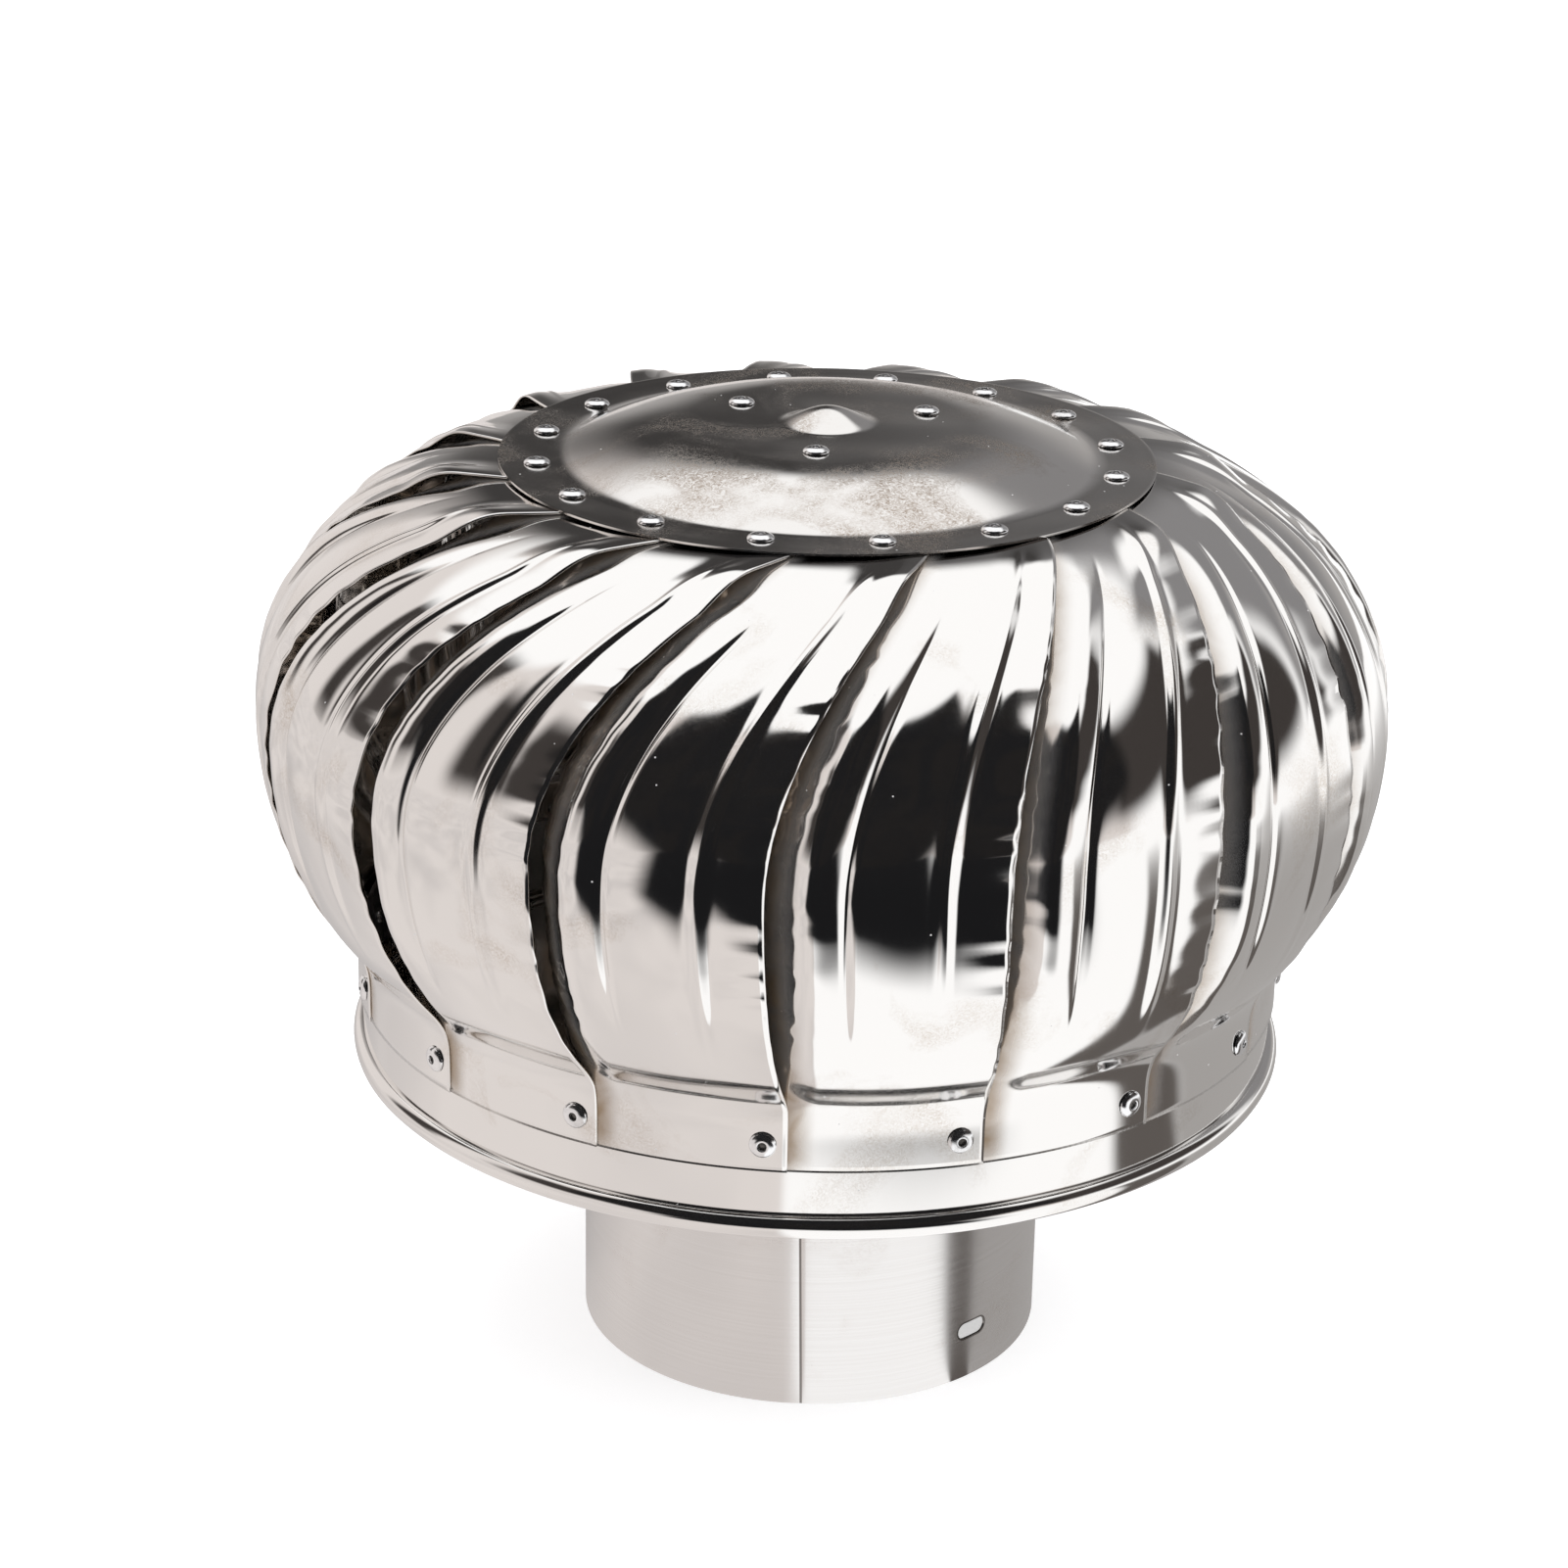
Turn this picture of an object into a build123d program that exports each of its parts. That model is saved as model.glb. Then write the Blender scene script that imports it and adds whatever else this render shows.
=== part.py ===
from build123d import *
import os
from math import acos, asin, cos, degrees, hypot, radians, sin

# A wind-driven turbine ventilator for a small round flue or vent pipe. The base pipe is fixed. The rotor,
# a cap, sixteen curved vanes and a lower ring, turns round a post on two ball bearings.
# Millimetres. +Z is up, and the origin is the middle of the base pipe's bottom edge.

# ---------------------------------------------------------------- driving sizes
PIPE_OD = 110.0  # spigot that goes on the vent pipe
PIPE_WALL = 0.5
PIPE_TOP_Z = 100.0
STOP_BEAD_Z = 74.5  # middle of the bead that stops a duct pushed onto the spigot
STOP_BEAD_HALF = 2.0
STOP_BEAD_OUT = 1.2
SLOT_LENGTH = 8.8  # screw slots near the pipe's bottom edge
SLOT_HEIGHT = 4.0
SLOT_Z = 12.3
SLOT_ANGLES = (-45.8, 134.2)

VANE_COUNT = 16
VANE_SHEET = 0.4
FIRST_FREE_EDGE = -95.3  # angle of vane 1's free edge at the belly
BELLY_R = 132.0  # widest radius of the turbine
BELLY_Z = 157.0
SHOULDER_R = 70.0  # where the vanes turn level, under the cap's rim
LEVEL_END_R = 61.5  # inner end of the vanes' level tabs
VANE_TWIST = 24.0  # degrees that a vane leans from the belly to the cap
FLANK_TWIST = 2.0  # and from the belly to the ring
BELLY_WIDTH = 24.0  # degrees that a vane covers at the belly and at the ring
CAP_WIDTH = 29.0  # and at the cap
CREST = 16.5  # degrees from the free edge to the crest, where the vane turns in
LIP_DEPTH = 10.5  # how far the inner lip stands inside the envelope at the belly
LIP_TOP = 80.0  # profile angle above the belly where the lip has faded out
FOLDS = (0, 5.2, 9.1, 13.0, 16.5, 18.8, 21.4, 24.0)  # lines along the vane, in degrees at the belly
ROW_ANGLES = (90, 76, 61, 47, 33, 19, 4, -11, -25, -38)  # profile angles of the vane's rows

CAP_R = 74.7  # rim of the cap
CAP_SHEET = 0.5
CAP_RIM_Z = 214.7  # top of the flat rim
DOME_R = 60.5  # foot of the dome
DOME_FLAT_R = 32.0  # flat middle of the dome
DOME_FLAT_Z = 222.3
DOME_STEPS = 4  # conical steps that make the dome's curve
BUMP_R = 10.0
BUMP_H = 3.6
BUMP_STEPS = 3

BAND_R = 107.9  # outside of the lower ring's band
RING_SHEET = 0.5
BAND_TOP_Z = 101.0
BAND_FOOT_Z = 76.3
BEAD_R = 2.3  # radius of the rolled bead under the band
BEAD_OUT = 2.3  # how far it stands out of the band
BEAD_STEPS = 4
PAN_LIP_R = 58.8  # upturned inner lip, which runs round the pipe
PAN_LIP_Z = 82.0

RIVET_R = 1.6
HEAD_R = 3.0
HEAD_H = 1.1
HEAD_SIDES = 12
SHANK_SIDES = 8
RIVET_TAIL = 1.0  # how far a set rivet stands through
CAP_TAIL = 0.6
CAP_RIVET_R = 66.3  # circle of rivets on the cap's rim
CAP_RIVET_BACK = 8.7  # degrees from a vane's free edge back to its cap rivet
BAND_RIVET_Z = 93.5
BAND_RIVET_BACK = 2.8
TAB_FOOT_Z = 87.2  # bottom edge of the vanes on the band
DOME_RIVET_R = 24.6
DOME_RIVETS = 3
DOME_RIVET_ANGLE = -96.35

STRAP_WIDTH = 16.0  # the two straps across the pipe that carry the post
STRAP_SHEET = 1.5
STRAP_Z = 82.0
STRAP_TAB_TOP = 97.0
STRAP_RIVET_Z = 91.0

POST_R = 6.0
SEAT_R = 4.0  # post and stud at the bearings
POST_FOOT_Z = 73.2
LOWER_BEARING_Z = 124.5  # underside
UPPER_BEARING_Z = 208.5
POST_TOP_Z = 222.3
BEARING_R = 11.0
BEARING_H = 7.0
INNER_RACE_R = 6.05
OUTER_RACE_BORE_R = 9.5
BALL_RING_H = 4.4
SLEEVE_R = 5.8
NUT_FLATS = 13.0
NUT_H = 4.0
FOOT_NUT_H = 6.5
WASHER_R = 5.9
FOOT_WASHER_R = 8.0
WASHER_H = 1.0

HUB_R = 14.0
HUB_FOOT_Z = 122.5
HUB_TOP_Z = 143.0
SHOULDER_BORE_R = 9.7  # bore past a bearing's outer race
HOUSING_R = 13.0
HOUSING_FLANGE_R = 31.0
HOUSING_SHEET = 1.2
HOUSING_LIP = 1.4
SPOKES = 4
SPOKE_SHEET = 1.0
SPOKE_DEPTH = 17.0  # height of a spoke's blade
SPOKE_OUTER_Z = 101.8  # top of the blade at the band
SPOKE_INNER_Z = 142.5  # top of the blade at the hub
SPOKE_TAB = 12.0
HUB_TAB = 10.0
HUB_RIVET_Z = 137.0
HUB_RIVET_ACROSS = 5.5  # from the blade's middle to the rivet in each tab
BAND_RIVET_ACROSS = 6.0

# ---------------------------------------------------------------- clearances
SEAT_GAP = 0.05  # between sheets that are riveted together
RUNNING = 0.05  # radial, in the bearings
HOLE_GAP = 0.05  # round a rivet in its hole
FIT = 0.02  # radial, between a turned part and its seat
CUT = 3.0  # how far a cutter reaches to each side of a sheet

PITCH = 360 / VANE_COUNT
PIPE_R = PIPE_OD / 2
LAYER = VANE_SHEET + SEAT_GAP  # each vane lies this much above the next one's covered side
WIDEST_FACET = max(b - a for a, b in zip(FOLDS, FOLDS[1:]))
TAB_R = (BAND_R + SEAT_GAP) / cos(radians(WIDEST_FACET / 2)) + VANE_SHEET + LAYER * BELLY_WIDTH / PITCH
CAP_UNDERSIDE_Z = CAP_RIM_Z - CAP_SHEET
DOME_H = DOME_FLAT_Z - CAP_RIM_Z
RISE = CAP_UNDERSIDE_Z - SEAT_GAP - BELLY_Z  # from the belly up to the vanes' level tabs
CREASE_Z = 102.6  # where the vanes leave the band
CREASE_COS = (TAB_R - SHOULDER_R) / (BELLY_R - SHOULDER_R)
CREASE_ANGLE = -degrees(acos(CREASE_COS))
DROP = (BELLY_Z - CREASE_Z) / sin(radians(-CREASE_ANGLE))
BAND_EDGE = FIRST_FREE_EDGE + FLANK_TWIST  # free edge of vane 1 on the band
CAP_EDGE = FIRST_FREE_EDGE + VANE_TWIST  # and under the cap
BAND_RIVET_TURN = degrees(asin(BAND_RIVET_ACROSS / BAND_R))
HUB_RIVET_TURN = degrees(asin(HUB_RIVET_ACROSS / HUB_R))


# ---------------------------------------------------------------- helpers
def around(count, first=0.0):
    return [first + 360 / count * i for i in range(count)]


# each spoke's outer tab shares a vane's band rivet
SPOKE_ANGLES = around(SPOKES, BAND_EDGE - BAND_RIVET_BACK - BAND_RIVET_TURN)


def polar(r, angle, z):
    return Vector(r * cos(radians(angle)), r * sin(radians(angle)), z)


def disc(radius, z_low, z_high):
    return Pos(0, 0, (z_low + z_high) / 2) * Cylinder(radius, z_high - z_low)


def tube(r_out, r_in, z_low, z_high):
    return disc(r_out, z_low, z_high) - disc(r_in, z_low, z_high)


def rivet(grip):
    """A set blind rivet on the origin: domed head above, shank down through the grip."""
    foot = RegularPolygon(HEAD_R, HEAD_SIDES)
    crown = Pos(0, 0, HEAD_H) * RegularPolygon(HEAD_R * 0.55, HEAD_SIDES)
    head = loft([foot, crown], ruled=True)
    shank = extrude(RegularPolygon(RIVET_R, SHANK_SIDES), -grip)
    return head + shank


def on_wall(r, angle, z):
    """A place on a round wall, with its local Z pointing out of the wall."""
    return Location(Plane(polar(r, angle, z), z_dir=polar(1, angle, 0)))


def on_top(r, angle, z):
    """A place on a level sheet, turned round the axis so that it follows a vane."""
    return Rot(0, 0, angle) * Pos(r, 0, z)


def hole(reach=CUT):
    """A cutter for a rivet hole, with as many sides as the shank so that the model stays light."""
    return extrude(RegularPolygon(RIVET_R + HOLE_GAP, SHANK_SIDES), reach, both=True)


# ---------------------------------------------------------------- vane
def envelope(angle):
    """Radius, height and outward normal of the turbine's outline at a profile angle from the belly."""
    reach = BELLY_R - SHOULDER_R
    half = RISE if angle > 0 else DROP
    r = SHOULDER_R + reach * cos(radians(angle))
    z = BELLY_Z + half * sin(radians(angle))
    normal = (half * cos(radians(angle)), reach * sin(radians(angle)))
    size = hypot(*normal)
    return r, z, normal[0] / size, normal[1] / size


def vane_row(angle, r, z, out_r, out_z):
    """One row of points across the vane, from its free edge to its inner lip."""
    up = angle > 0
    share = angle / 90 if up else angle / CREASE_ANGLE
    lean = (VANE_TWIST if up else FLANK_TWIST) * share**2
    width = BELLY_WIDTH + (CAP_WIDTH - BELLY_WIDTH) * (share**2 if up else 0)
    lip = LIP_DEPTH * max(0.0, 1 - (angle / (LIP_TOP if up else CREASE_ANGLE)) ** 2)
    row = []
    for fold in FOLDS:
        past = max(0.0, (fold - CREST) / (BELLY_WIDTH - CREST))
        back = fold if fold <= CREST else CREST + past * (width - CREST)
        sink = LAYER * back / PITCH + lip * past**1.6
        row.append(polar(r - out_r * sink, FIRST_FREE_EDGE + lean - back, z - out_z * sink))
    return row


def vane_rows():
    rows = [vane_row(90, LEVEL_END_R, envelope(90)[1], 0, 1)]
    rows += [vane_row(a, *envelope(a)) for a in ROW_ANGLES]
    rows.append(vane_row(CREASE_ANGLE, TAB_R, CREASE_Z, 1, 0))
    rows.append(vane_row(CREASE_ANGLE, TAB_R, TAB_FOOT_Z, 1, 0))
    return rows


def inner_side(rows):
    """The same grid of points, moved in by the sheet's thickness."""
    last_row, last = len(rows) - 1, len(FOLDS) - 1
    moved = []
    for i, row in enumerate(rows):
        above, below = rows[max(i - 1, 0)], rows[min(i + 1, last_row)]
        line = []
        for j, point in enumerate(row):
            down = below[j] - above[j]
            across = row[min(j + 1, last)] - row[max(j - 1, 0)]
            line.append(point + down.cross(across).normalized() * VANE_SHEET)
        moved.append(line)
    return moved


def facets(a, b, c, d):
    """A four-sided cell as two flat triangles."""
    return [Face(Wire.make_polygon(corners)) for corners in ((a, b, c), (a, c, d))]


def vane():
    outer = vane_rows()
    inner = inner_side(outer)
    skin = []
    for i in range(len(outer) - 1):
        for j in range(len(FOLDS) - 1):
            for side in (outer, inner):
                skin += facets(side[i][j], side[i + 1][j], side[i + 1][j + 1], side[i][j + 1])
        for j in (0, -1):
            skin += facets(outer[i][j], outer[i + 1][j], inner[i + 1][j], inner[i][j])
    for i in (0, -1):
        for j in range(len(FOLDS) - 1):
            skin += facets(outer[i][j], outer[i][j + 1], inner[i][j + 1], inner[i][j])
    blade = Solid(Shell(skin))
    top_hole = on_top(CAP_RIVET_R, CAP_EDGE - CAP_RIVET_BACK, CAP_UNDERSIDE_Z) * hole()
    foot_hole = on_wall(TAB_R, BAND_EDGE - BAND_RIVET_BACK, BAND_RIVET_Z) * hole()
    return blade - top_hole - foot_hole


# ---------------------------------------------------------------- cap and ring
def xz(r, z):
    return (r, 0, z)


def dome_line(lower):
    """Section of the cap from its rim to its middle, on the top side or moved down by lower."""
    points = [xz(CAP_R, CAP_RIM_Z)]
    for step in range(DOME_STEPS + 1):
        turn = radians(90 * step / DOME_STEPS)
        points.append(xz(DOME_R - (DOME_R - DOME_FLAT_R) * step / DOME_STEPS, CAP_RIM_Z + DOME_H * sin(turn)))
    for step in range(BUMP_STEPS + 1):
        turn = radians(90 * step / BUMP_STEPS)
        points.append(xz((BUMP_R - lower) * cos(turn), DOME_FLAT_Z + BUMP_H * sin(turn)))
    return [(r, y, z - lower) for r, y, z in points]


def top_cap():
    section = Polyline(*dome_line(0), *reversed(dome_line(CAP_SHEET)), close=True)
    cap = revolve(make_face(section), Axis.Z)
    for angle in around(VANE_COUNT, CAP_EDGE - CAP_RIVET_BACK):
        cap -= on_top(CAP_RIVET_R, angle, CAP_RIM_Z) * hole()
    for angle in around(DOME_RIVETS, DOME_RIVET_ANGLE):
        cap -= on_top(DOME_RIVET_R, angle, DOME_FLAT_Z) * hole()
    return cap


def lower_ring():
    """Band, rolled bead, pan and upturned lip, spun from one sheet: the section follows its outer side."""
    band_r = BAND_R
    pan_z = BAND_FOOT_Z - 2 * BEAD_R
    turns = [radians(180 * step / BEAD_STEPS - 90) for step in range(BEAD_STEPS + 1)]
    bead = [xz(band_r + BEAD_OUT * cos(turn), BAND_FOOT_Z - BEAD_R - BEAD_R * sin(turn)) for turn in turns]
    path = [xz(band_r, BAND_TOP_Z), *bead, xz(PAN_LIP_R, pan_z), xz(PAN_LIP_R, PAN_LIP_Z)]
    outline = offset(Polyline(*path), RING_SHEET, kind=Kind.INTERSECTION, side=Side.RIGHT, closed=True)
    ring = revolve(make_face(outline.edges()), Axis.Z)
    for angle in around(VANE_COUNT, BAND_EDGE - BAND_RIVET_BACK):
        ring -= on_wall(BAND_R, angle, BAND_RIVET_Z) * hole()
    return ring


# ---------------------------------------------------------------- rivets
def cap_rivets():
    grip = CAP_SHEET + SEAT_GAP + VANE_SHEET + LAYER + CAP_TAIL
    seats = around(VANE_COUNT, CAP_EDGE - CAP_RIVET_BACK)
    return [on_top(CAP_RIVET_R, angle, CAP_RIM_Z + SEAT_GAP) * rivet(grip) for angle in seats]


def dome_rivets():
    grip = CAP_SHEET + HOUSING_SHEET + 2 * SEAT_GAP + RIVET_TAIL
    seats = around(DOME_RIVETS, DOME_RIVET_ANGLE)
    return [on_top(DOME_RIVET_R, angle, DOME_FLAT_Z + SEAT_GAP) * rivet(grip) for angle in seats]


def band_rivets():
    head_seat = TAB_R + SEAT_GAP
    grip = head_seat - BAND_R + RING_SHEET + SPOKE_SHEET + 2 * SEAT_GAP + RIVET_TAIL
    seats = around(VANE_COUNT, BAND_EDGE - BAND_RIVET_BACK)
    return [on_wall(head_seat, angle, BAND_RIVET_Z) * rivet(grip) for angle in seats]


def strap_rivets():
    grip = PIPE_WALL + STRAP_SHEET + 2 * SEAT_GAP + RIVET_TAIL
    return [on_wall(PIPE_R + SEAT_GAP, angle, STRAP_RIVET_Z) * rivet(grip) for angle in around(4)]


def spoke_rivets():
    seat = HUB_R + SEAT_GAP + SPOKE_SHEET + SEAT_GAP
    grip = seat - SHOULDER_BORE_R - SEAT_GAP
    return [on_wall(seat, angle + HUB_RIVET_TURN, HUB_RIVET_Z) * rivet(grip) for angle in SPOKE_ANGLES]


# ---------------------------------------------------------------- rotor's inside
def spoke(angle):
    """A blade on edge from the band up to the hub, with a tab bent round at each end."""
    outer_r = BAND_R - RING_SHEET - SEAT_GAP
    inner_r = HUB_R + SEAT_GAP
    half = SPOKE_SHEET / 2
    blade_ends = (outer_r - SPOKE_SHEET / 2, inner_r + SPOKE_SHEET / 2)
    blade = make_face(
        Polyline(
            xz(blade_ends[0], SPOKE_OUTER_Z),
            xz(blade_ends[0], SPOKE_OUTER_Z - SPOKE_DEPTH),
            xz(blade_ends[1], SPOKE_INNER_Z - SPOKE_DEPTH),
            xz(blade_ends[1], SPOKE_INNER_Z),
            close=True,
        )
    )
    piece = extrude(blade, half, dir=(0, 1, 0), both=True)
    for r_out, z_top, reach in ((outer_r, SPOKE_OUTER_Z, SPOKE_TAB), (inner_r + SPOKE_SHEET, SPOKE_INNER_Z, HUB_TAB)):
        wall = tube(r_out, r_out - SPOKE_SHEET, z_top - SPOKE_DEPTH, z_top)
        window = Pos(r_out / 2, reach / 2 - half, z_top - SPOKE_DEPTH / 2) * Box(r_out, reach, SPOKE_DEPTH)
        piece += wall & window
    piece = Rot(0, 0, angle) * piece
    piece -= on_wall(outer_r, angle + BAND_RIVET_TURN, BAND_RIVET_Z) * hole()
    piece -= on_wall(inner_r, angle + HUB_RIVET_TURN, HUB_RIVET_Z) * hole()
    return piece


def hub():
    seat_top = LOWER_BEARING_Z + BEARING_H
    body = tube(HUB_R, SHOULDER_BORE_R, HUB_FOOT_Z, HUB_TOP_Z)
    body -= disc(BEARING_R + FIT, HUB_FOOT_Z - 1, seat_top)
    for angle in SPOKE_ANGLES:
        body -= on_wall(HUB_R, angle + HUB_RIVET_TURN, HUB_RIVET_Z) * hole(2 * (HUB_R - SHOULDER_BORE_R))
    return body


def bearing_housing():
    """A flanged cup under the dome. Its floor holds the upper bearing's outer race from below."""
    flange_top = DOME_FLAT_Z - CAP_SHEET - SEAT_GAP
    floor = UPPER_BEARING_Z - HOUSING_LIP
    housing = tube(HOUSING_FLANGE_R, BEARING_R, flange_top - HOUSING_SHEET, flange_top)
    housing += tube(HOUSING_R, SHOULDER_BORE_R, floor, flange_top)
    housing -= disc(BEARING_R + FIT, UPPER_BEARING_Z, flange_top + 1)
    for angle in around(DOME_RIVETS, DOME_RIVET_ANGLE):
        housing -= on_top(DOME_RIVET_R, angle, flange_top) * hole()
    return housing


# ---------------------------------------------------------------- fixed post
def base_pipe():
    outside = Polyline(
        xz(PIPE_R, 0),
        xz(PIPE_R, STOP_BEAD_Z - STOP_BEAD_HALF),
        xz(PIPE_R + STOP_BEAD_OUT, STOP_BEAD_Z - STOP_BEAD_HALF / 4),
        xz(PIPE_R + STOP_BEAD_OUT, STOP_BEAD_Z + STOP_BEAD_HALF / 4),
        xz(PIPE_R, STOP_BEAD_Z + STOP_BEAD_HALF),
        xz(PIPE_R, PIPE_TOP_Z),
    )
    wall = offset(outside, PIPE_WALL, kind=Kind.INTERSECTION, side=Side.LEFT, closed=True)
    pipe = revolve(make_face(wall.edges()), Axis.Z)
    for angle in SLOT_ANGLES:
        slot = extrude(SlotOverall(SLOT_LENGTH, SLOT_HEIGHT), CUT, both=True)
        frame = Plane(polar(PIPE_R, angle, SLOT_Z), x_dir=polar(1, angle + 90, 0), z_dir=polar(1, angle, 0))
        pipe -= Location(frame) * slot
    for angle in around(4):
        pipe -= on_wall(PIPE_R, angle, STRAP_RIVET_Z) * hole()
    return pipe


def strap(turn, low_z):
    """A strap across the pipe with both ends bent up along the wall."""
    reach = PIPE_R - PIPE_WALL - SEAT_GAP
    cup = disc(reach, low_z, STRAP_TAB_TOP) - disc(reach - STRAP_SHEET, low_z + STRAP_SHEET, STRAP_TAB_TOP + 1)
    bar = cup & Pos(0, 0, (low_z + STRAP_TAB_TOP) / 2) * Box(2 * PIPE_R, STRAP_WIDTH, STRAP_TAB_TOP - low_z)
    bar -= disc(SEAT_R + FIT, low_z - 1, low_z + STRAP_SHEET + 1)
    bar = Rot(0, 0, turn) * bar
    for angle in (turn, turn + 180):
        bar -= on_wall(reach, angle, STRAP_RIVET_Z) * hole()
    return bar


def post():
    """The fixed post: a stud through the straps, a shoulder under the lower bearing, a seat above it."""
    shoulder_foot = STRAP_Z + 2 * STRAP_SHEET + SEAT_GAP
    return disc(SEAT_R, POST_FOOT_Z, POST_TOP_Z) + disc(POST_R, shoulder_foot, LOWER_BEARING_Z)


def nut(low_z, height):
    block = extrude(RegularPolygon(NUT_FLATS / 2, 6, major_radius=False), height)
    return Pos(0, 0, low_z) * (block - disc(SEAT_R + FIT, 0, height))


def washer(radius, low_z):
    return tube(radius, SEAT_R + FIT, low_z, low_z + WASHER_H)


def spacer_sleeve():
    return tube(SLEEVE_R, SEAT_R + FIT, LOWER_BEARING_Z + BEARING_H, UPPER_BEARING_Z)


def inner_race(low_z):
    return tube(INNER_RACE_R, SEAT_R + FIT, low_z, low_z + BEARING_H)


def outer_race(low_z):
    return tube(BEARING_R, OUTER_RACE_BORE_R, low_z, low_z + BEARING_H)


def ball_ring(low_z):
    """The balls in their cage, as one ring that rolls between the races."""
    foot = low_z + (BEARING_H - BALL_RING_H) / 2
    return tube(OUTER_RACE_BORE_R - RUNNING, INNER_RACE_R + RUNNING, foot, foot + BALL_RING_H)


# ---------------------------------------------------------------- assembly
def build_nodes():
    nodes = {
        "base_pipe": base_pipe(),
        "lower_strap": strap(0, STRAP_Z),
        "upper_strap": strap(90, STRAP_Z + STRAP_SHEET),
        "strap_rivets": strap_rivets(),
        "post": post(),
        "foot_washer": washer(FOOT_WASHER_R, STRAP_Z - WASHER_H),
        "foot_nut": nut(STRAP_Z - WASHER_H - FOOT_NUT_H, FOOT_NUT_H),
        "spacer_sleeve": spacer_sleeve(),
        "top_washer": washer(WASHER_R, UPPER_BEARING_Z + BEARING_H),
        "top_nut": nut(UPPER_BEARING_Z + BEARING_H + WASHER_H, NUT_H),
        "top_cap": top_cap(),
        "lower_ring": lower_ring(),
        "cap_rivets": cap_rivets(),
        "dome_rivets": dome_rivets(),
        "band_rivets": band_rivets(),
        "hub": hub(),
        "spoke_rivets": spoke_rivets(),
        "bearing_housing": bearing_housing(),
    }
    for name, low_z in (("lower", LOWER_BEARING_Z), ("upper", UPPER_BEARING_Z)):
        nodes[name + "_inner_race"] = inner_race(low_z)
        nodes[name + "_outer_race"] = outer_race(low_z)
        nodes[name + "_ball_ring"] = ball_ring(low_z)
    for number, angle in enumerate(SPOKE_ANGLES, 1):
        nodes[f"spoke_{number}"] = spoke(angle)
    first_vane = vane()
    for number, angle in enumerate(around(VANE_COUNT), 1):
        nodes[f"vane_{number:02d}"] = Rot(0, 0, angle) * first_vane
    return nodes


def main():
    os.makedirs("parts", exist_ok=True)
    for name, shape in build_nodes().items():
        solids = shape if isinstance(shape, list) else [shape]
        node = Compound(label=name, children=[s for piece in solids for s in piece.solids()])
        export_step(node, f"parts/{name}.step")


if __name__ == "__main__":
    main()
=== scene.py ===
# %% [markdown]
# # A turbine ventilator in mirror-polished sheet
# The fixed frame holds every metal part at its true size, with its joints. This file gives that frame its
# looks. Smooth skins go over the vanes, the cap, the ring and the pipe, detailed rivets replace the plain
# ones, and each metal gets a finish of its own.

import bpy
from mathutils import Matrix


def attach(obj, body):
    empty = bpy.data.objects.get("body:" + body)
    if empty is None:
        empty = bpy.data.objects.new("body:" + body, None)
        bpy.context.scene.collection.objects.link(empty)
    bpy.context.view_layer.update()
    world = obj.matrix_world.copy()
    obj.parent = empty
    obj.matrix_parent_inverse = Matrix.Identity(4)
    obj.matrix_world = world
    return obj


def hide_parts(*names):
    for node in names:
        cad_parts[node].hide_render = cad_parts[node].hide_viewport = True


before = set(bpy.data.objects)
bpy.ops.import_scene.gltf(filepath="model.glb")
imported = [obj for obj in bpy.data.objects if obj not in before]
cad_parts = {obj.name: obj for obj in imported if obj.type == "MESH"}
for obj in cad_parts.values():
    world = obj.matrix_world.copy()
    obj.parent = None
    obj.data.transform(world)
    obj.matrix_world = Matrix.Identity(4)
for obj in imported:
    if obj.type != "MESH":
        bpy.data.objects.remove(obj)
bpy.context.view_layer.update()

# %% Tools that the later cells share
from math import acos, cos, degrees, pi, radians, sin

import bpy
import numpy as np
from mathutils import Matrix, Vector, noise

MM = 0.001


def smoothstep(x, start, end):
    share = np.clip((x - start) / (end - start), 0, 1)
    return share * share * (3 - 2 * share)


def linked(name, data):
    """A new object in the scene, at the origin."""
    thing = bpy.data.objects.new(name, data)
    bpy.context.scene.collection.objects.link(thing)
    return thing


def mesh_object(name, points_mm, faces):
    mesh = bpy.data.meshes.new(name)
    mesh.from_pydata([tuple(MM * v for v in point) for point in points_mm], [], faces)
    mesh.shade_smooth()
    return linked(name, mesh)


def evaluated_mesh(thing, name):
    """What an object becomes with its modifiers applied, as a plain mesh."""
    mesh = bpy.data.meshes.new_from_object(thing.evaluated_get(bpy.context.evaluated_depsgraph_get()))
    mesh.name = name
    return mesh


def finished(thing, name, material):
    """Turns an object and its live modifiers into one plain mesh with one material."""
    mesh = evaluated_mesh(thing, name)
    mesh.materials.clear()
    mesh.materials.append(material)
    plain = linked(name, mesh)
    bpy.data.objects.remove(thing)
    return plain


print("Blender", bpy.app.version_string)

# %% [markdown]
# ## The camera
# A long lens keeps the rims' ellipses nearly true. The camera looks down at the ventilator by 21 degrees
# and leans by about one degree. Its axes are built first, and its place then follows from how far the
# origin, at the pipe's foot, lies from the middle of the frame.

# %% Set the camera
LOOK_DOWN = 0.3682  # radians
LEAN = -0.0188
DISTANCE = 0.96814  # along the view, from the camera to the origin
ASIDE, ABOVE = 0.0061, -0.12521  # the origin in the frame, from its middle
LENS = 89.97

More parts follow.
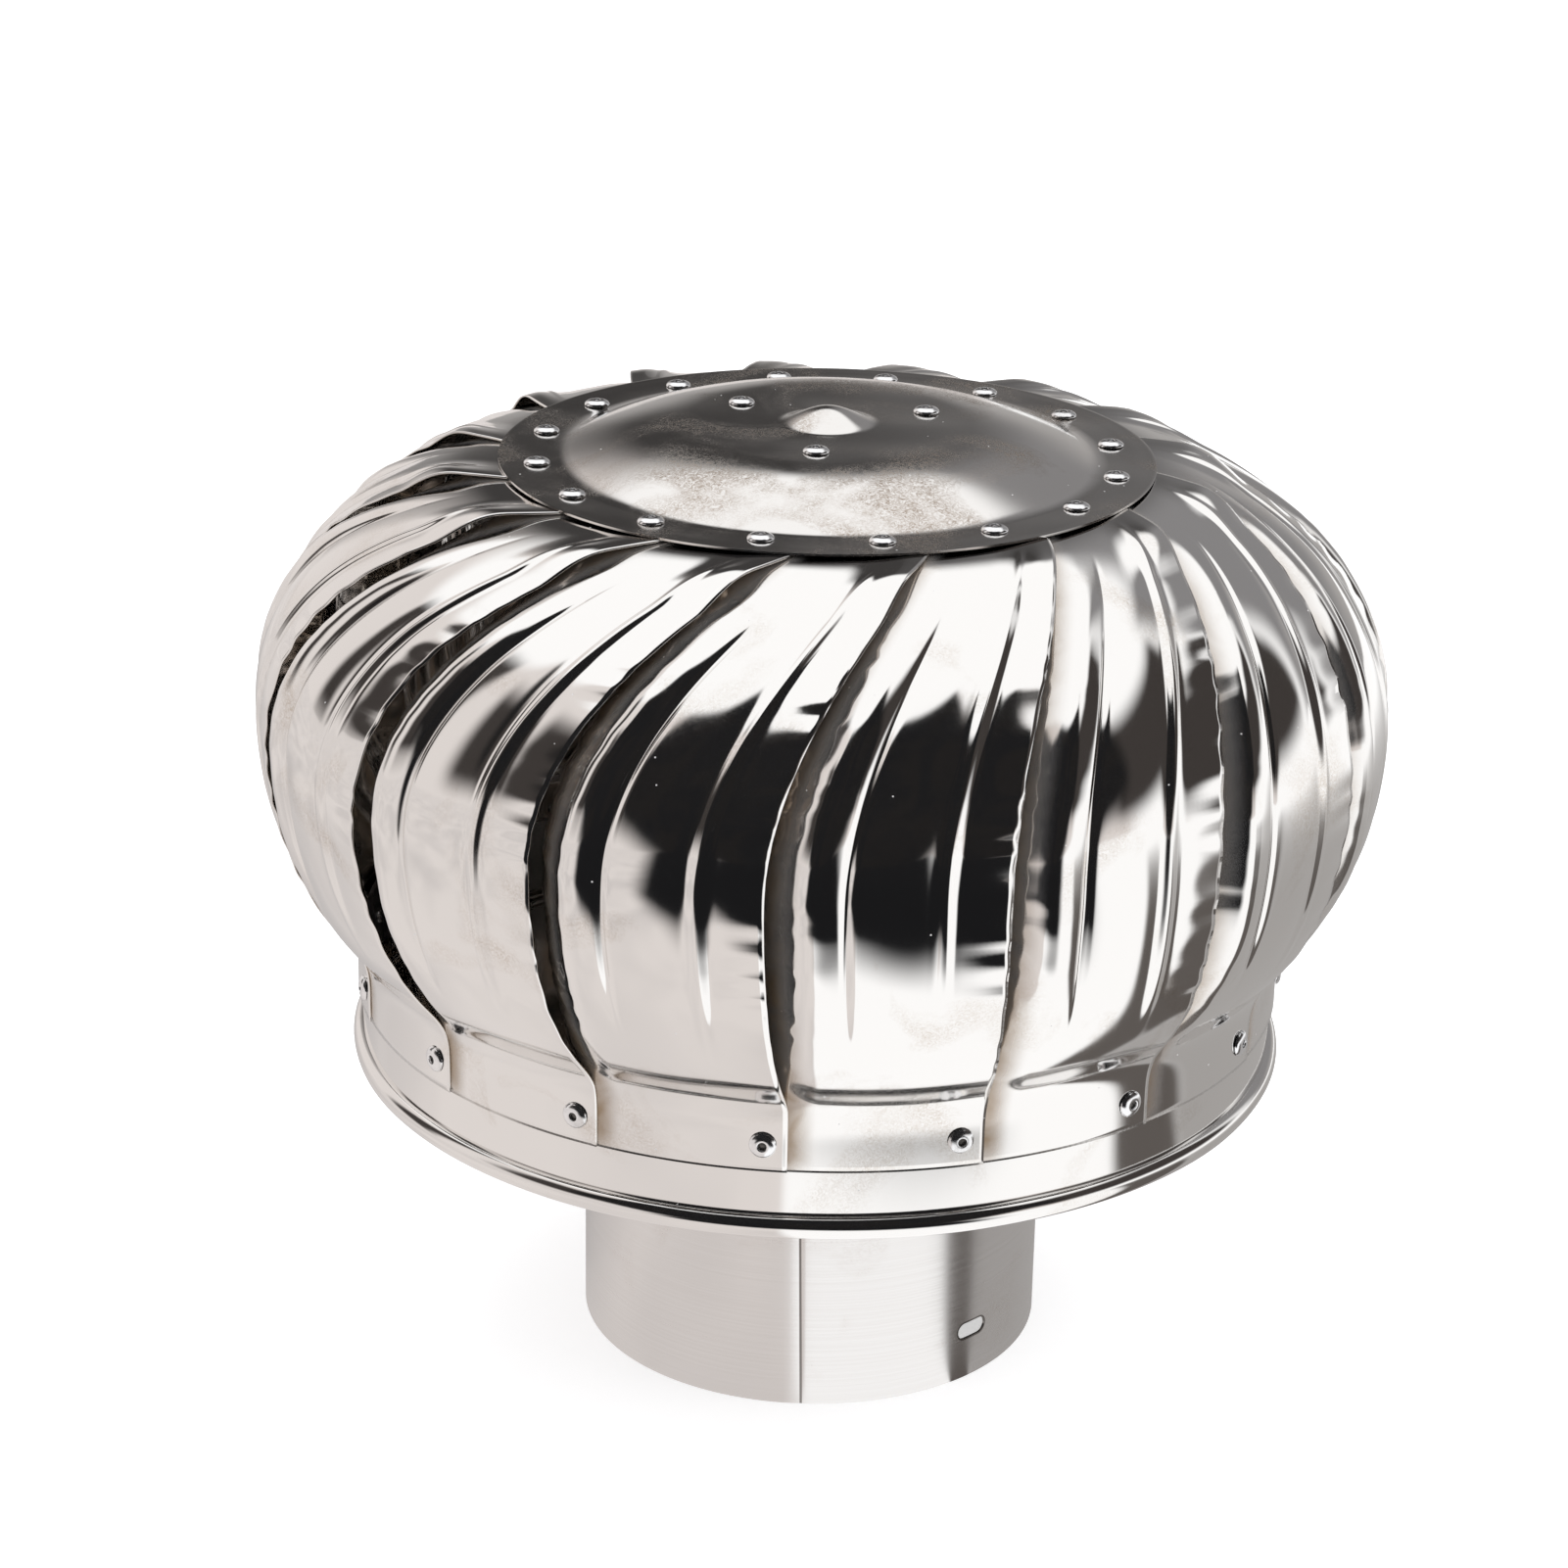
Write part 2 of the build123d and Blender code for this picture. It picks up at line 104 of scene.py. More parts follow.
forward = Vector((0, cos(LOOK_DOWN), -sin(LOOK_DOWN)))
level = Vector((1, 0, 0))
upright = Vector((0, sin(LOOK_DOWN), cos(LOOK_DOWN)))
right = level * cos(LEAN) - upright * sin(LEAN)
up = level * sin(LEAN) + upright * cos(LEAN)
camera_data = bpy.data.cameras.new("studio_camera")
camera_data.lens = LENS
camera = linked("studio_camera", camera_data)
camera_axes = Matrix((right, up, -forward)).transposed().to_4x4()
camera.matrix_world = Matrix.Translation(-ASIDE * right - ABOVE * up - DISTANCE * forward) @ camera_axes
bpy.context.scene.camera = camera
print("camera at", tuple(round(v, 3) for v in camera.matrix_world.translation))

# %% [markdown]
# ## Finishes
# Polished sheet is nearly a mirror, so its colour comes from the room, and its truth from small faults:
# the sheet ripples, polishing leaves faint lines, hands leave smears, and dust settles. Each finish is a
# Principled shader in metal. The faults drive its base colour, roughness and bump, and every pattern reads
# Object coordinates, so it keeps its size and its place on the piece.

# %% Nodes in short form


def feed(tree, socket, value):
    """Wires a socket to another one, or sets its own value."""
    if isinstance(value, bpy.types.NodeSocket):
        tree.links.new(value, socket)
    else:
        socket.default_value = value


def add(tree, kind, inputs=None, **settings):
    """Adds a node, with its settings, and with its inputs given as values or as sockets to wire in."""
    node = tree.nodes.new(kind)
    for name, value in settings.items():
        setattr(node, name, value)
    for name, value in (inputs or {}).items():
        feed(tree, node.inputs[name], value)
    return node


def maths(tree, operation, *values):
    return add(tree, "ShaderNodeMath", dict(enumerate(values)), operation=operation).outputs[0]


def times(tree, first, second):
    return maths(tree, "MULTIPLY", first, second)


def times_plus(tree, value, factor, term):
    return maths(tree, "MULTIPLY_ADD", value, factor, term)


def stretched(tree, place, scale):
    return add(tree, "ShaderNodeMapping", {"Vector": place, "Scale": scale}).outputs["Vector"]


def cloud(tree, place, scale, low, high, detail=3.0, distortion=0.0):
    """Noise between 0 and 1, cut to the part between two levels."""
    inputs = {"Vector": place, "Scale": scale, "Detail": detail, "Distortion": distortion}
    field = add(tree, "ShaderNodeTexNoise", inputs).outputs["Fac"]
    cut = add(tree, "ShaderNodeMapRange", {"Value": field, "From Min": low, "From Max": high})
    return cut.outputs["Result"]


def specks(tree, place, scale, size, share):
    """Small round dots on a given share of the cells of a lattice."""
    cells = add(tree, "ShaderNodeTexVoronoi", {"Vector": place, "Scale": scale})
    dot = maths(tree, "LESS_THAN", cells.outputs["Distance"], size)
    red = add(tree, "ShaderNodeSeparateColor", {"Color": cells.outputs["Color"]}).outputs["Red"]
    return times(tree, dot, maths(tree, "LESS_THAN", red, share))


def mixed(tree, amount, first, second):
    blend = add(tree, "ShaderNodeMix", data_type="RGBA")
    for socket, value in ((blend.inputs[0], amount), (blend.inputs[6], first), (blend.inputs[7], second)):
        feed(tree, socket, value)
    return blend.outputs[2]


def bumped(tree, height, distance, under=None):
    inputs = {"Height": height, "Distance": distance, "Strength": 1.0}
    if under is not None:
        inputs["Normal"] = under
    return add(tree, "ShaderNodeBump", inputs).outputs["Normal"]


# %% [markdown]
# ### What lies on the metal
# Dust and oil aren't metal, so they lower the Metallic value too. The oil is the brown film that the press
# leaves on a vane's inner lip. An attribute of the mesh says where it lies.

# %% Dust and oil
DUST_SCALE, DUST_SIZE = 230, 0.045  # lattice cells per metre, and a speck's size in cells
DUST_WHITE, DUST_ROUGH = (0.93, 0.92, 0.90, 1), 0.5
OIL_SCALE, OIL_ROUGH, OIL_MATT = 70, 0.03, 0.55


def dusted(tree, place, share, base, rough):
    """The colour, roughness and bare share of a metal under specks of dust."""
    dots = specks(tree, place, DUST_SCALE, DUST_SIZE, share)
    base = mixed(tree, dots, base, DUST_WHITE)
    rough = times_plus(tree, dots, DUST_ROUGH, rough)
    return base, rough, maths(tree, "SUBTRACT", 1.0, dots)


def stained(tree, place, stain, base, rough, bare):
    """The same three under a patchy film, as thick as the stain's attribute says."""
    attribute, colour = stain
    thickness = add(tree, "ShaderNodeAttribute", attribute_name=attribute).outputs["Fac"]
    patches = times_plus(tree, cloud(tree, place, OIL_SCALE, 0.25, 0.7, 4.0, 2.0), 0.4, 0.6)
    film = times(tree, thickness, patches)
    base = mixed(tree, film, base, (*colour, 1))
    rough = times_plus(tree, film, OIL_ROUGH, rough)
    return base, rough, times_plus(tree, film, -OIL_MATT, bare)


print("dust on", round(1000 / DUST_SCALE, 1), "mm cells")

# %% [markdown]
# ### One rule for every metal
# The nine metals differ only in amounts, so one function builds them all.

# %% A metal
HAND_SCALE, MOTTLE_SCALE, WAVE_SCALE = 34, 820, 42  # of the noises, per metre


def metal(
    name, *, colour, smear_colour, roughness, smear, smear_rough, lines, line_height, line_rough, ripple,
    brushed=0.0, dust=0.0, stain=None,
):
    """One sheet or turned metal.

    lines is the scale of its polishing or turning lines on X, Y and Z. smear is how much of it hands have
    touched, ripple how far the sheet waves, brushed how far the lines show in the colour, dust the share of
    specks, and stain a named attribute with a colour, for a film.
    """
    material = bpy.data.materials.new(name)
    material.use_nodes = True
    tree = material.node_tree
    shader = tree.nodes["Principled BSDF"]
    place = add(tree, "ShaderNodeTexCoord").outputs["Object"]
    hand_marks = cloud(tree, place, HAND_SCALE, 0.70 - 0.25 * smear, 0.86 - 0.25 * smear, 5.0, 0.8)
    mottle = cloud(tree, place, MOTTLE_SCALE, 0.30, 0.72, 2.0, 2.2)
    marks = times(tree, hand_marks, mottle)
    strokes = {"Vector": stretched(tree, place, lines), "Scale": 1.0, "Detail": 2.0}
    drawn = add(tree, "ShaderNodeTexNoise", strokes).outputs["Fac"]
    rough = times_plus(tree, marks, smear_rough, roughness)
    rough = times_plus(tree, drawn, line_rough, rough)
    if brushed:
        shown = add(tree, "ShaderNodeMapRange", {"Value": drawn, "From Min": 0.35, "From Max": 0.65})
        marks = times_plus(tree, shown.outputs["Result"], brushed, marks)
    base = mixed(tree, marks, colour, smear_colour)
    bare = 1.0
    if dust:
        base, rough, bare = dusted(tree, place, dust, base, rough)
    if stain:
        base, rough, bare = stained(tree, place, stain, base, rough, bare)
    for label, value in (("Metallic", bare), ("Base Color", base), ("Roughness", rough)):
        feed(tree, shader.inputs[label], value)
    waves = bumped(tree, cloud(tree, place, WAVE_SCALE, 0.2, 0.8, 0.0), ripple)
    tree.links.new(bumped(tree, drawn, line_height, waves), shader.inputs["Normal"])
    return material


# %% The finishes
polished = {
    "colour": (0.85, 0.835, 0.82, 1), "lines": (900, 900, 9), "line_height": 1.2e-6, "line_rough": 0.03,
}
mirror_steel = metal(
    "mirror_steel", **polished, smear_colour=(0.68, 0.63, 0.58, 1), roughness=0.07, smear=0.5,
    smear_rough=0.10, ripple=6e-5, dust=0.22,
)
vane_steel = metal(
    "pressed_mirror_steel", **polished, smear_colour=(0.66, 0.60, 0.54, 1), roughness=0.065, smear=0.55,
    smear_rough=0.12, ripple=5e-5, dust=0.30, stain=("oil_film", (0.36, 0.265, 0.175)),
)
handled_steel = metal(
    "handled_mirror_steel", colour=(0.80, 0.78, 0.76, 1), smear_colour=(0.40, 0.325, 0.265, 1),
    roughness=0.085, smear=1.0, smear_rough=0.30, lines=(260, 260, 260), line_height=1.5e-6,
    line_rough=0.03, ripple=8e-5, dust=0.35,
)
pipe_steel = metal(
    "brushed_pipe_steel", colour=(0.80, 0.785, 0.775, 1), smear_colour=(0.70, 0.66, 0.63, 1),
    roughness=0.17, smear=0.35, smear_rough=0.08, lines=(4, 4, 2600), line_height=2.5e-6,
    line_rough=0.14, ripple=4e-5, brushed=0.15, dust=0.06,
)
rivet_aluminium = metal(
    "rivet_aluminium", colour=(0.87, 0.87, 0.88, 1), smear_colour=(0.62, 0.61, 0.60, 1), roughness=0.12,
    smear=0.5, smear_rough=0.2, lines=(600, 600, 600), line_height=8e-6, line_rough=0.08, ripple=1e-5,
)
bracket_steel = metal(
    "galvanised_bracket_steel", colour=(0.62, 0.61, 0.60, 1), smear_colour=(0.44, 0.44, 0.44, 1),
    roughness=0.30, smear=0.9, smear_rough=0.22, lines=(300, 300, 40), line_height=9e-6,
    line_rough=0.12, ripple=6e-5,
)
plated_steel = metal(
    "zinc_plated_steel", colour=(0.66, 0.66, 0.63, 1), smear_colour=(0.50, 0.49, 0.42, 1), roughness=0.20,
    smear=0.6, smear_rough=0.2, lines=(20, 20, 2200), line_height=8e-6, line_rough=0.14, ripple=1e-5,
)
bearing_steel = metal(
    "ground_bearing_steel", colour=(0.72, 0.72, 0.73, 1), smear_colour=(0.45, 0.43, 0.40, 1),
    roughness=0.10, smear=0.6, smear_rough=0.2, lines=(30, 30, 3000), line_height=3e-6,
    line_rough=0.08, ripple=1e-5,
)
# The pin's near-black colour is the steel's own and also painted shade, for the shadow down in the rivet's
# hole.
pin_steel_and_hole_shade = metal(
    "rivet_mandrel_steel_and_hole_shade", colour=(0.20, 0.19, 0.18, 1), smear_colour=(0.10, 0.09, 0.08, 1),
    roughness=0.45, smear=0.6, smear_rough=0.2, lines=(500, 500, 500), line_height=2e-5,
    line_rough=0.1, ripple=1e-5,
)
print(len(bpy.data.materials), "materials")

# %% [markdown]
# ## The vanes
# A vane is pressed from one sheet. It starts as a level tab under the cap, swells out to the belly, and
# ends as an upright tab on the ring. Two marks run down it, a raised bead near the free edge and a fine
# groove near the crest, and past the crest the sheet turns in to a lip under its neighbour. One sheet is
# laid out by rule as a grid, because its shape follows from a profile, a twist and a few pressed marks.

# %% Sizes of a vane
VANES = 16
PITCH = 360 / VANES
SHEET = 0.4
FREE_EDGE = -95.3  # degrees, at the belly
BELLY_R, BELLY_Z = 132.0, 157.0
SHOULDER_R, LEVEL_END_R, LEVEL_Z = 70.0, 61.5, 214.15
TAB_R, CREASE_Z, TAB_FOOT_Z = 108.94, 102.6, 87.2
TWIST, FLANK_TWIST = 24.0, 2.0  # degrees that a vane leans, from the belly to the cap and to the ring
WIDTH, CAP_WIDTH = 24.0, 29.0  # degrees that a vane covers, at the belly and at the cap
CREST = 18.7  # degrees back from the free edge, where the sheet turns in to its lip
LIP_DEPTH, LIP_TOP = 10.5, 80.0  # how far in the lip goes, and the profile angle at which it starts
LAYER = 0.45  # how far a vane sinks over one pitch, to pass under its neighbour
REACH = BELLY_R - SHOULDER_R
RISE = LEVEL_Z - BELLY_Z
CREASE = -degrees(acos((TAB_R - SHOULDER_R) / REACH))
DROP = (BELLY_Z - CREASE_Z) / sin(radians(-CREASE))
BELLY_MM = radians(1) * BELLY_R  # one degree round the belly
print("a vane covers", WIDTH, "of the", PITCH, "degrees between two vanes")

# %% [markdown]
# ### The run down a vane
# The profile is a level stretch, a quarter ellipse out to the belly, part of another one in to the crease,
# and an upright tab. Its points are laid at even steps, so the sheet is equally fine all the way down. The
# crease is then softened, as no press folds this sheet sharply.

# %% The run down a vane, from cap to ring
STEPS = 421
LEVEL_STEPS, RISE_STEPS, DROP_STEPS, TAB_STEPS = 30, 400, 260, 50
CREASE_STEPS = 24  # to each side, over which the crease is softened
FIXED_END = 6.0  # millimetres from either end over which the softening comes in


def run_down():
    """Radius, height and profile angle at even steps down the vane."""
    rise = np.linspace(90, 0, RISE_STEPS)
    fall = np.linspace(0, CREASE, DROP_STEPS)[1:]
    angle = np.concatenate([np.full(LEVEL_STEPS, 90.0), rise, fall, np.full(TAB_STEPS, CREASE)])
    half = np.where(angle > 0, RISE, DROP)
    r = SHOULDER_R + REACH * np.cos(np.radians(angle))
    z = BELLY_Z + half * np.sin(np.radians(angle))
    r[:LEVEL_STEPS] = np.linspace(LEVEL_END_R, SHOULDER_R, LEVEL_STEPS + 1)[:LEVEL_STEPS]
    r[-TAB_STEPS:], z[-TAB_STEPS:] = TAB_R, np.linspace(CREASE_Z, TAB_FOOT_Z, TAB_STEPS + 1)[1:]
    along = np.concatenate([[0], np.cumsum(np.hypot(np.diff(r), np.diff(z)))])
    even = np.linspace(0, along[-1], STEPS)
    return even, *(np.interp(even, along, values) for values in (r, z, angle))


def softened(values, along, radius):
    """Rounds the crease at the ring as a press does, and leaves both ends in place."""
    hanning = np.hanning(2 * radius + 3)[1:-1]
    soft = np.convolve(np.pad(values, radius, mode="edge"), hanning / hanning.sum(), mode="valid")
    inner = smoothstep(along, 0, FIXED_END) * (1 - smoothstep(along, along[-1] - FIXED_END, along[-1]))
    return values + (soft - values) * inner


along, run_r, run_z, run_angle = run_down()
run_r, run_z = softened(run_r, along, CREASE_STEPS), softened(run_z, along, CREASE_STEPS)
slope_r, slope_z = np.gradient(run_r, along), np.gradient(run_z, along)
steep = np.hypot(slope_r, slope_z)
out_r, out_z = -slope_z / steep, slope_r / steep
print("a vane's sheet is", round(float(along[-1]), 1), "mm long")

# %% [markdown]
# ### The pressed marks
# The bead, the groove, the panel's crown and the bulge at the crest all stand off the same profile, so each
# is a height across the vane times a fade down it. A fade goes by radius above the belly and height below.

# %% Sizes of the pressed marks
BEAD, GROOVE = 6.2, 15.2  # degrees back from the free edge
BEAD_HEIGHT, BEAD_HALF = 1.05, 1.7
BEAD_SINK, BEAD_SINK_HALF = 0.45, 4.4  # the shallow trough that the bead rises from
GROOVE_DEPTH, GROOVE_HALF = 0.55, 1.0
CREST_BULGE, CREST_END, CREST_ROUND = 1.35, 20.6, 1.4
PANEL_CROWN = 0.55
SET_BACK = 1.55  # how far the sheet lies inside its own pressed features
LIP_CURL = 1.6
PRESSED_FADE = (76, 104, 114, 142)  # radii above the belly, then heights below it
ROLLED_FADE = (84, 118, 116, 140)
INSET_FADE = (75, 110, 106, 150)
CORNER_FADE, CORNER_WIDTH = (84, 98), (2.0, 11.0)  # the level corner by the cap: radii, and degrees back
BEAD_FINE, GROOVE_FINE = 4.2, 2.6  # millimetres to each side, where the stations are close together
BEFORE_BEAD, AFTER_BEAD, BEFORE_GROOVE, AFTER_GROOVE = 4.8, 5.2, 3.4, 3.0  # where the others stop and start


def across_stations():
    """Degrees back from the free edge, close together on the bead and the groove."""
    on_bead = [BEAD + step / BELLY_MM for step in np.linspace(-BEAD_FINE, BEAD_FINE, 19)]
    on_groove = [GROOVE + step / BELLY_MM for step in np.linspace(-GROOVE_FINE, GROOVE_FINE, 13)]
    before = np.linspace(0, BEAD - BEFORE_BEAD / BELLY_MM, 8)
    between = np.linspace(BEAD + AFTER_BEAD / BELLY_MM, GROOVE - BEFORE_GROOVE / BELLY_MM, 8)
    behind = np.linspace(GROOVE + AFTER_GROOVE / BELLY_MM, WIDTH, 24)
    return np.array(sorted([*on_bead, *on_groove, *before, *between, *behind]))


def faded(r_start, r_end, z_start, z_end):
    """How far a form has come in, at each step down the vane."""
    return np.where(run_z > BELLY_Z, smoothstep(run_r, r_start, r_end), smoothstep(run_z, z_start, z_end))


def bell(offset, half):
    return np.exp(-((offset / half) ** 2))


def arch(back, start, end):
    """A half wave from one line along the vane to another."""
    return np.sin(pi * np.clip((back - start) / (end - start), 0, 1))


print(len(across_stations()), "points across a vane")


# %% [markdown]
# ### The sheet of one vane
# Each column of the grid is the profile at one distance from the free edge, leant, pressed and turned in.
# The edges, the open part and the oil get a weight at every point, which later steps read.

# %% Lay out the sheet
ROW_STEP = 3  # of the even steps down the run, one row of points


def vane_points(back):
    """One column of the sheet: the points down the vane at a given number of degrees from its free edge."""
    up_side = run_angle > 0
    share = np.where(up_side, run_angle / 90, run_angle / CREASE)
    lean = np.where(up_side, TWIST, FLANK_TWIST) * share**2
    width = WIDTH + (CAP_WIDTH - WIDTH) * np.where(up_side, share**2, 0)
    lip = LIP_DEPTH * np.clip(1 - (run_angle / np.where(up_side, LIP_TOP, CREASE)) ** 2, 0, None)
    past = max(0.0, (back - CREST) / (WIDTH - CREST))
    swept = back if back <= CREST else CREST + past * (width - CREST)
    from_bead, from_groove = (back - BEAD) * BELLY_MM, (back - GROOVE) * BELLY_MM
    bead = BEAD_HEIGHT * bell(from_bead, BEAD_HALF) - BEAD_SINK * bell(from_bead, BEAD_SINK_HALF)
    roll = CREST_BULGE * arch(back, GROOVE, CREST_END) ** CREST_ROUND
    roll -= GROOVE_DEPTH * bell(from_groove, GROOVE_HALF)
    roll += PANEL_CROWN * arch(back, BEAD, GROOVE)
    outward = bead * faded(*PRESSED_FADE) + roll * faded(*ROLLED_FADE) - SET_BACK * faded(*INSET_FADE)
    outward = outward - LAYER * swept / PITCH - lip * past**LIP_CURL
    corner = (1 - smoothstep(run_r, *CORNER_FADE)) * (1 - float(smoothstep(back, *CORNER_WIDTH)))
    angle = np.radians(FREE_EDGE + lean - swept)
    r = run_r + out_r * outward
    height = run_z + out_z * outward + np.where(run_z > BELLY_Z, (LEVEL_Z - run_z) * corner, 0)
    return np.stack([r * np.cos(angle), r * np.sin(angle), height], axis=1)


def grid_faces(count, wide):
    return [
        (i * wide + j + 1, (i + 1) * wide + j + 1, (i + 1) * wide + j, i * wide + j)
        for i in range(count - 1) for j in range(wide - 1)
    ]


def vane_sheet():
    stations = across_stations()
    rows = np.arange(0, STEPS, ROW_STEP)
    grid = np.stack([vane_points(back)[rows] for back in stations], axis=1)
    count, wide = grid.shape[:2]
    sheet = mesh_object("vane_sheet", grid.reshape(-1, 3), grid_faces(count, wide))
    r, z = run_r[rows], run_z[rows]
    swell = smoothstep(r, 92, 116) * smoothstep(z, 108, 124)
    weights = {
        "free_edge": (swell, np.exp(-((stations * BELLY_MM / 6.5) ** 1.6))),
        "lip_edge": (swell, np.exp(-(((WIDTH - stations) * BELLY_MM / 9.0) ** 1.5))),
        "loose": (smoothstep(r, 76, 88) * smoothstep(z, 97, 106), np.ones(wide)),
        "oil_film": (smoothstep(z, 84, 92), smoothstep(stations, CREST + 0.4, CREST + 3.6)),
        "run": (along[rows] * MM, np.ones(wide)),
    }
    for name, (down, across) in weights.items():
        layer = sheet.data.attributes.new(name, "FLOAT", "POINT")
        layer.data.foreach_set("value", np.outer(down, across).ravel())
    return sheet


# %% [markdown]
# ### Turning and ruffling the sheet
# The tree moves the sheet's edges in and out by a sine wave whose phase a noise pushes about, buckles its
# open part by a slower noise, and turns it to its place on the wheel. The lip is ruffled more than the free
# edge, because it is stretched more in the press. A seed gives each vane waves of its own.


# %% Waves and buckles as nodes
SEED_APART = 3.7
DRIFT_SCALE, DRIFT_WAVES = 45.0, 2.6
BUCKLE_SCALE, BUCKLE_SKEW = 34.0, 0.37


def named_number(tree, name):
    read = add(tree, "GeometryNodeInputNamedAttribute", {"Name": name}, data_type="FLOAT")
    return read.outputs["Attribute"]


def ruffle(tree, given, weight, height, seed_step):
    """How far an edge moves off the sheet: a wave along the run, its phase pushed about by noise."""
    run = named_number(tree, "run")
    seed = times_plus(tree, given["Seed"], SEED_APART, seed_step)
    at = add(tree, "ShaderNodeCombineXYZ", {"X": run, "Y": seed}).outputs[0]
    inputs = {"Vector": at, "Scale": DRIFT_SCALE, "Detail": 1.0}
    drift = add(tree, "ShaderNodeTexNoise", inputs).outputs["Fac"]
    waves = maths(tree, "DIVIDE", run, given["Wave Length"])
    phase = maths(tree, "ADD", waves, times(tree, drift, DRIFT_WAVES))
    wave = maths(tree, "SINE", times(tree, phase, 2 * pi))
    size = times(tree, wave, times_plus(tree, drift, 1.3, 0.2))
    reach = times(tree, named_number(tree, weight), height)
    return times(tree, reach, size)


def buckle(tree, given):
    """How far the open sheet stands off its true form, by a slow noise with a place of its own per seed."""
    skewed = times(tree, given["Seed"], BUCKLE_SKEW)
    apart = add(tree, "ShaderNodeCombineXYZ", {"X": given["Seed"], "Y": skewed}).outputs[0]
    position = add(tree, "GeometryNodeInputPosition").outputs[0]
    at = add(tree, "ShaderNodeVectorMath", {0: position, 1: apart}, operation="ADD").outputs[0]
    inputs = {"Vector": at, "Scale": BUCKLE_SCALE, "Detail": 0.0}
    field = add(tree, "ShaderNodeTexNoise", inputs).outputs["Fac"]
    reach = times(tree, given["Buckle Height"], named_number(tree, "loose"))
    return times(tree, maths(tree, "SUBTRACT", field, 0.5), reach)


# %% The tree of a vane
def new_node_tree(name, inputs):
    """A geometry tree with named inputs, its group input and its group output."""
    tree = bpy.data.node_groups.new(name, "GeometryNodeTree")
    tree.is_modifier = True
    tree.interface.new_socket("Geometry", in_out="INPUT", socket_type="NodeSocketGeometry")
    tree.interface.new_socket("Geometry", in_out="OUTPUT", socket_type="NodeSocketGeometry")
    for label, kind in inputs:
        tree.interface.new_socket(label, in_out="INPUT", socket_type="NodeSocket" + kind)
    return tree, tree.nodes.new("NodeGroupInput").outputs, tree.nodes.new("NodeGroupOutput")


def run_tree(thing, tree, values):
    """Puts a tree on an object as a modifier, with each input set by its socket's identifier."""
    modifier = thing.modifiers.new(tree.name, "NODES")
    modifier.node_group = tree
    for item in tree.interface.items_tree:
        if item.in_out == "INPUT" and item.name in values:
            modifier[item.identifier] = values[item.name]


vane_sizes = ("Turn", "Seed", "Edge Height", "Lip Height", "Wave Length", "Buckle Height")
vane_inputs = [(label, "Float") for label in vane_sizes] + [("Material", "Material")]
vane_tree, given, vane_out = new_node_tree("turned_vane", vane_inputs)
free_ruffle = ruffle(vane_tree, given, "free_edge", given["Edge Height"], 0.0)
lip_ruffle = ruffle(vane_tree, given, "lip_edge", given["Lip Height"], 1.9)
lift = maths(vane_tree, "ADD", free_ruffle, lip_ruffle)
lift = maths(vane_tree, "ADD", lift, buckle(vane_tree, given))
normal = add(vane_tree, "GeometryNodeInputNormal").outputs["Normal"]
push = add(vane_tree, "ShaderNodeVectorMath", {0: normal, "Scale": lift}, operation="SCALE").outputs[0]
moved = add(vane_tree, "GeometryNodeSetPosition", {"Geometry": given["Geometry"], "Offset": push}).outputs[0]
spin = add(vane_tree, "ShaderNodeCombineXYZ", {"Z": given["Turn"]}).outputs[0]
placed = add(vane_tree, "GeometryNodeTransform", {"Geometry": moved, "Rotation": spin}).outputs[0]
real = add(vane_tree, "GeometryNodeRealizeInstances", {"Geometry": placed}).outputs[0]
coat = {"Geometry": real, "Material": given["Material"]}
coated = add(vane_tree, "GeometryNodeSetMaterial", coat).outputs[0]
vane_tree.links.new(coated, vane_out.inputs[0])
print(len(vane_tree.nodes), "nodes turn and ruffle a vane")

# %% Press the sixteen vanes
EDGE_HEIGHT, LIP_HEIGHT, WAVE_LENGTH, BUCKLE_HEIGHT = 0.22, 0.24, 8.5, 0.9

for number in range(1, VANES + 1):
    blank = vane_sheet()
    run_tree(blank, vane_tree, {
        "Turn": radians(PITCH * (number - 1)), "Seed": float(number),
        "Edge Height": EDGE_HEIGHT * MM, "Lip Height": LIP_HEIGHT * MM,
        "Wave Length": WAVE_LENGTH * MM, "Buckle Height": BUCKLE_HEIGHT * MM, "Material": vane_steel,
    })
    wall = blank.modifiers.new("sheet", "SOLIDIFY")
    wall.thickness, wall.offset, wall.use_even_offset = SHEET * MM, -1, True
    skin = finished(blank, f"vane_skin_{number:02d}", vane_steel)
    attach(skin, "rotor")
    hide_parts(f"vane_{number:02d}")
print("each vane has", len(skin.data.polygons), "faces")

# %% [markdown]
# ## Spun sheets
# The cap, the ring and the pipe are round, so each is the outline of its section turned about the axis.
# The outline is closed, and a point on the axis becomes a single vertex, so no seam or pole stays open.


# %% Turning an outline
def turned(name, outline, sides, shape=None):
    """Turns a closed outline of (radius, height) about Z. shape may move each point (r, angle, z)."""
    points, rings = [], []
    for r, z in outline:
        if r < 1e-6:
            rings.append([len(points)] * sides)
            points.append((0, 0, z))
            continue
        rings.append(list(range(len(points), len(points) + sides)))
        for k in range(sides):
            angle = 2 * pi * k / sides
            radius, height = shape(r, angle, z) if shape else (r, z)
            points.append((radius * cos(angle), radius * sin(angle), height))
    faces = []
    for low, high in zip(rings, rings[1:] + rings[:1]):
        for k in range(sides):
            corners = [low[k], low[(k + 1) % sides], high[(k + 1) % sides], high[k]]
            corners = list(dict.fromkeys(corners))
            if len(corners) > 2:
                faces.append(corners)
    return mesh_object(name, points, faces)


def arc(centre_r, centre_z, radius_r, radius_z, first, last, steps):
    angles = [radians(a) for a in np.linspace(first, last, steps)]
    return [(centre_r + radius_r * cos(a), centre_z + radius_z * sin(a)) for a in angles]


def wobble(r, angle, z, scale, height):
    """A slow unevenness of a hand-fed sheet, in millimetres."""
    return height * noise.noise(Vector((r * cos(angle), r * sin(angle), z)) * scale)


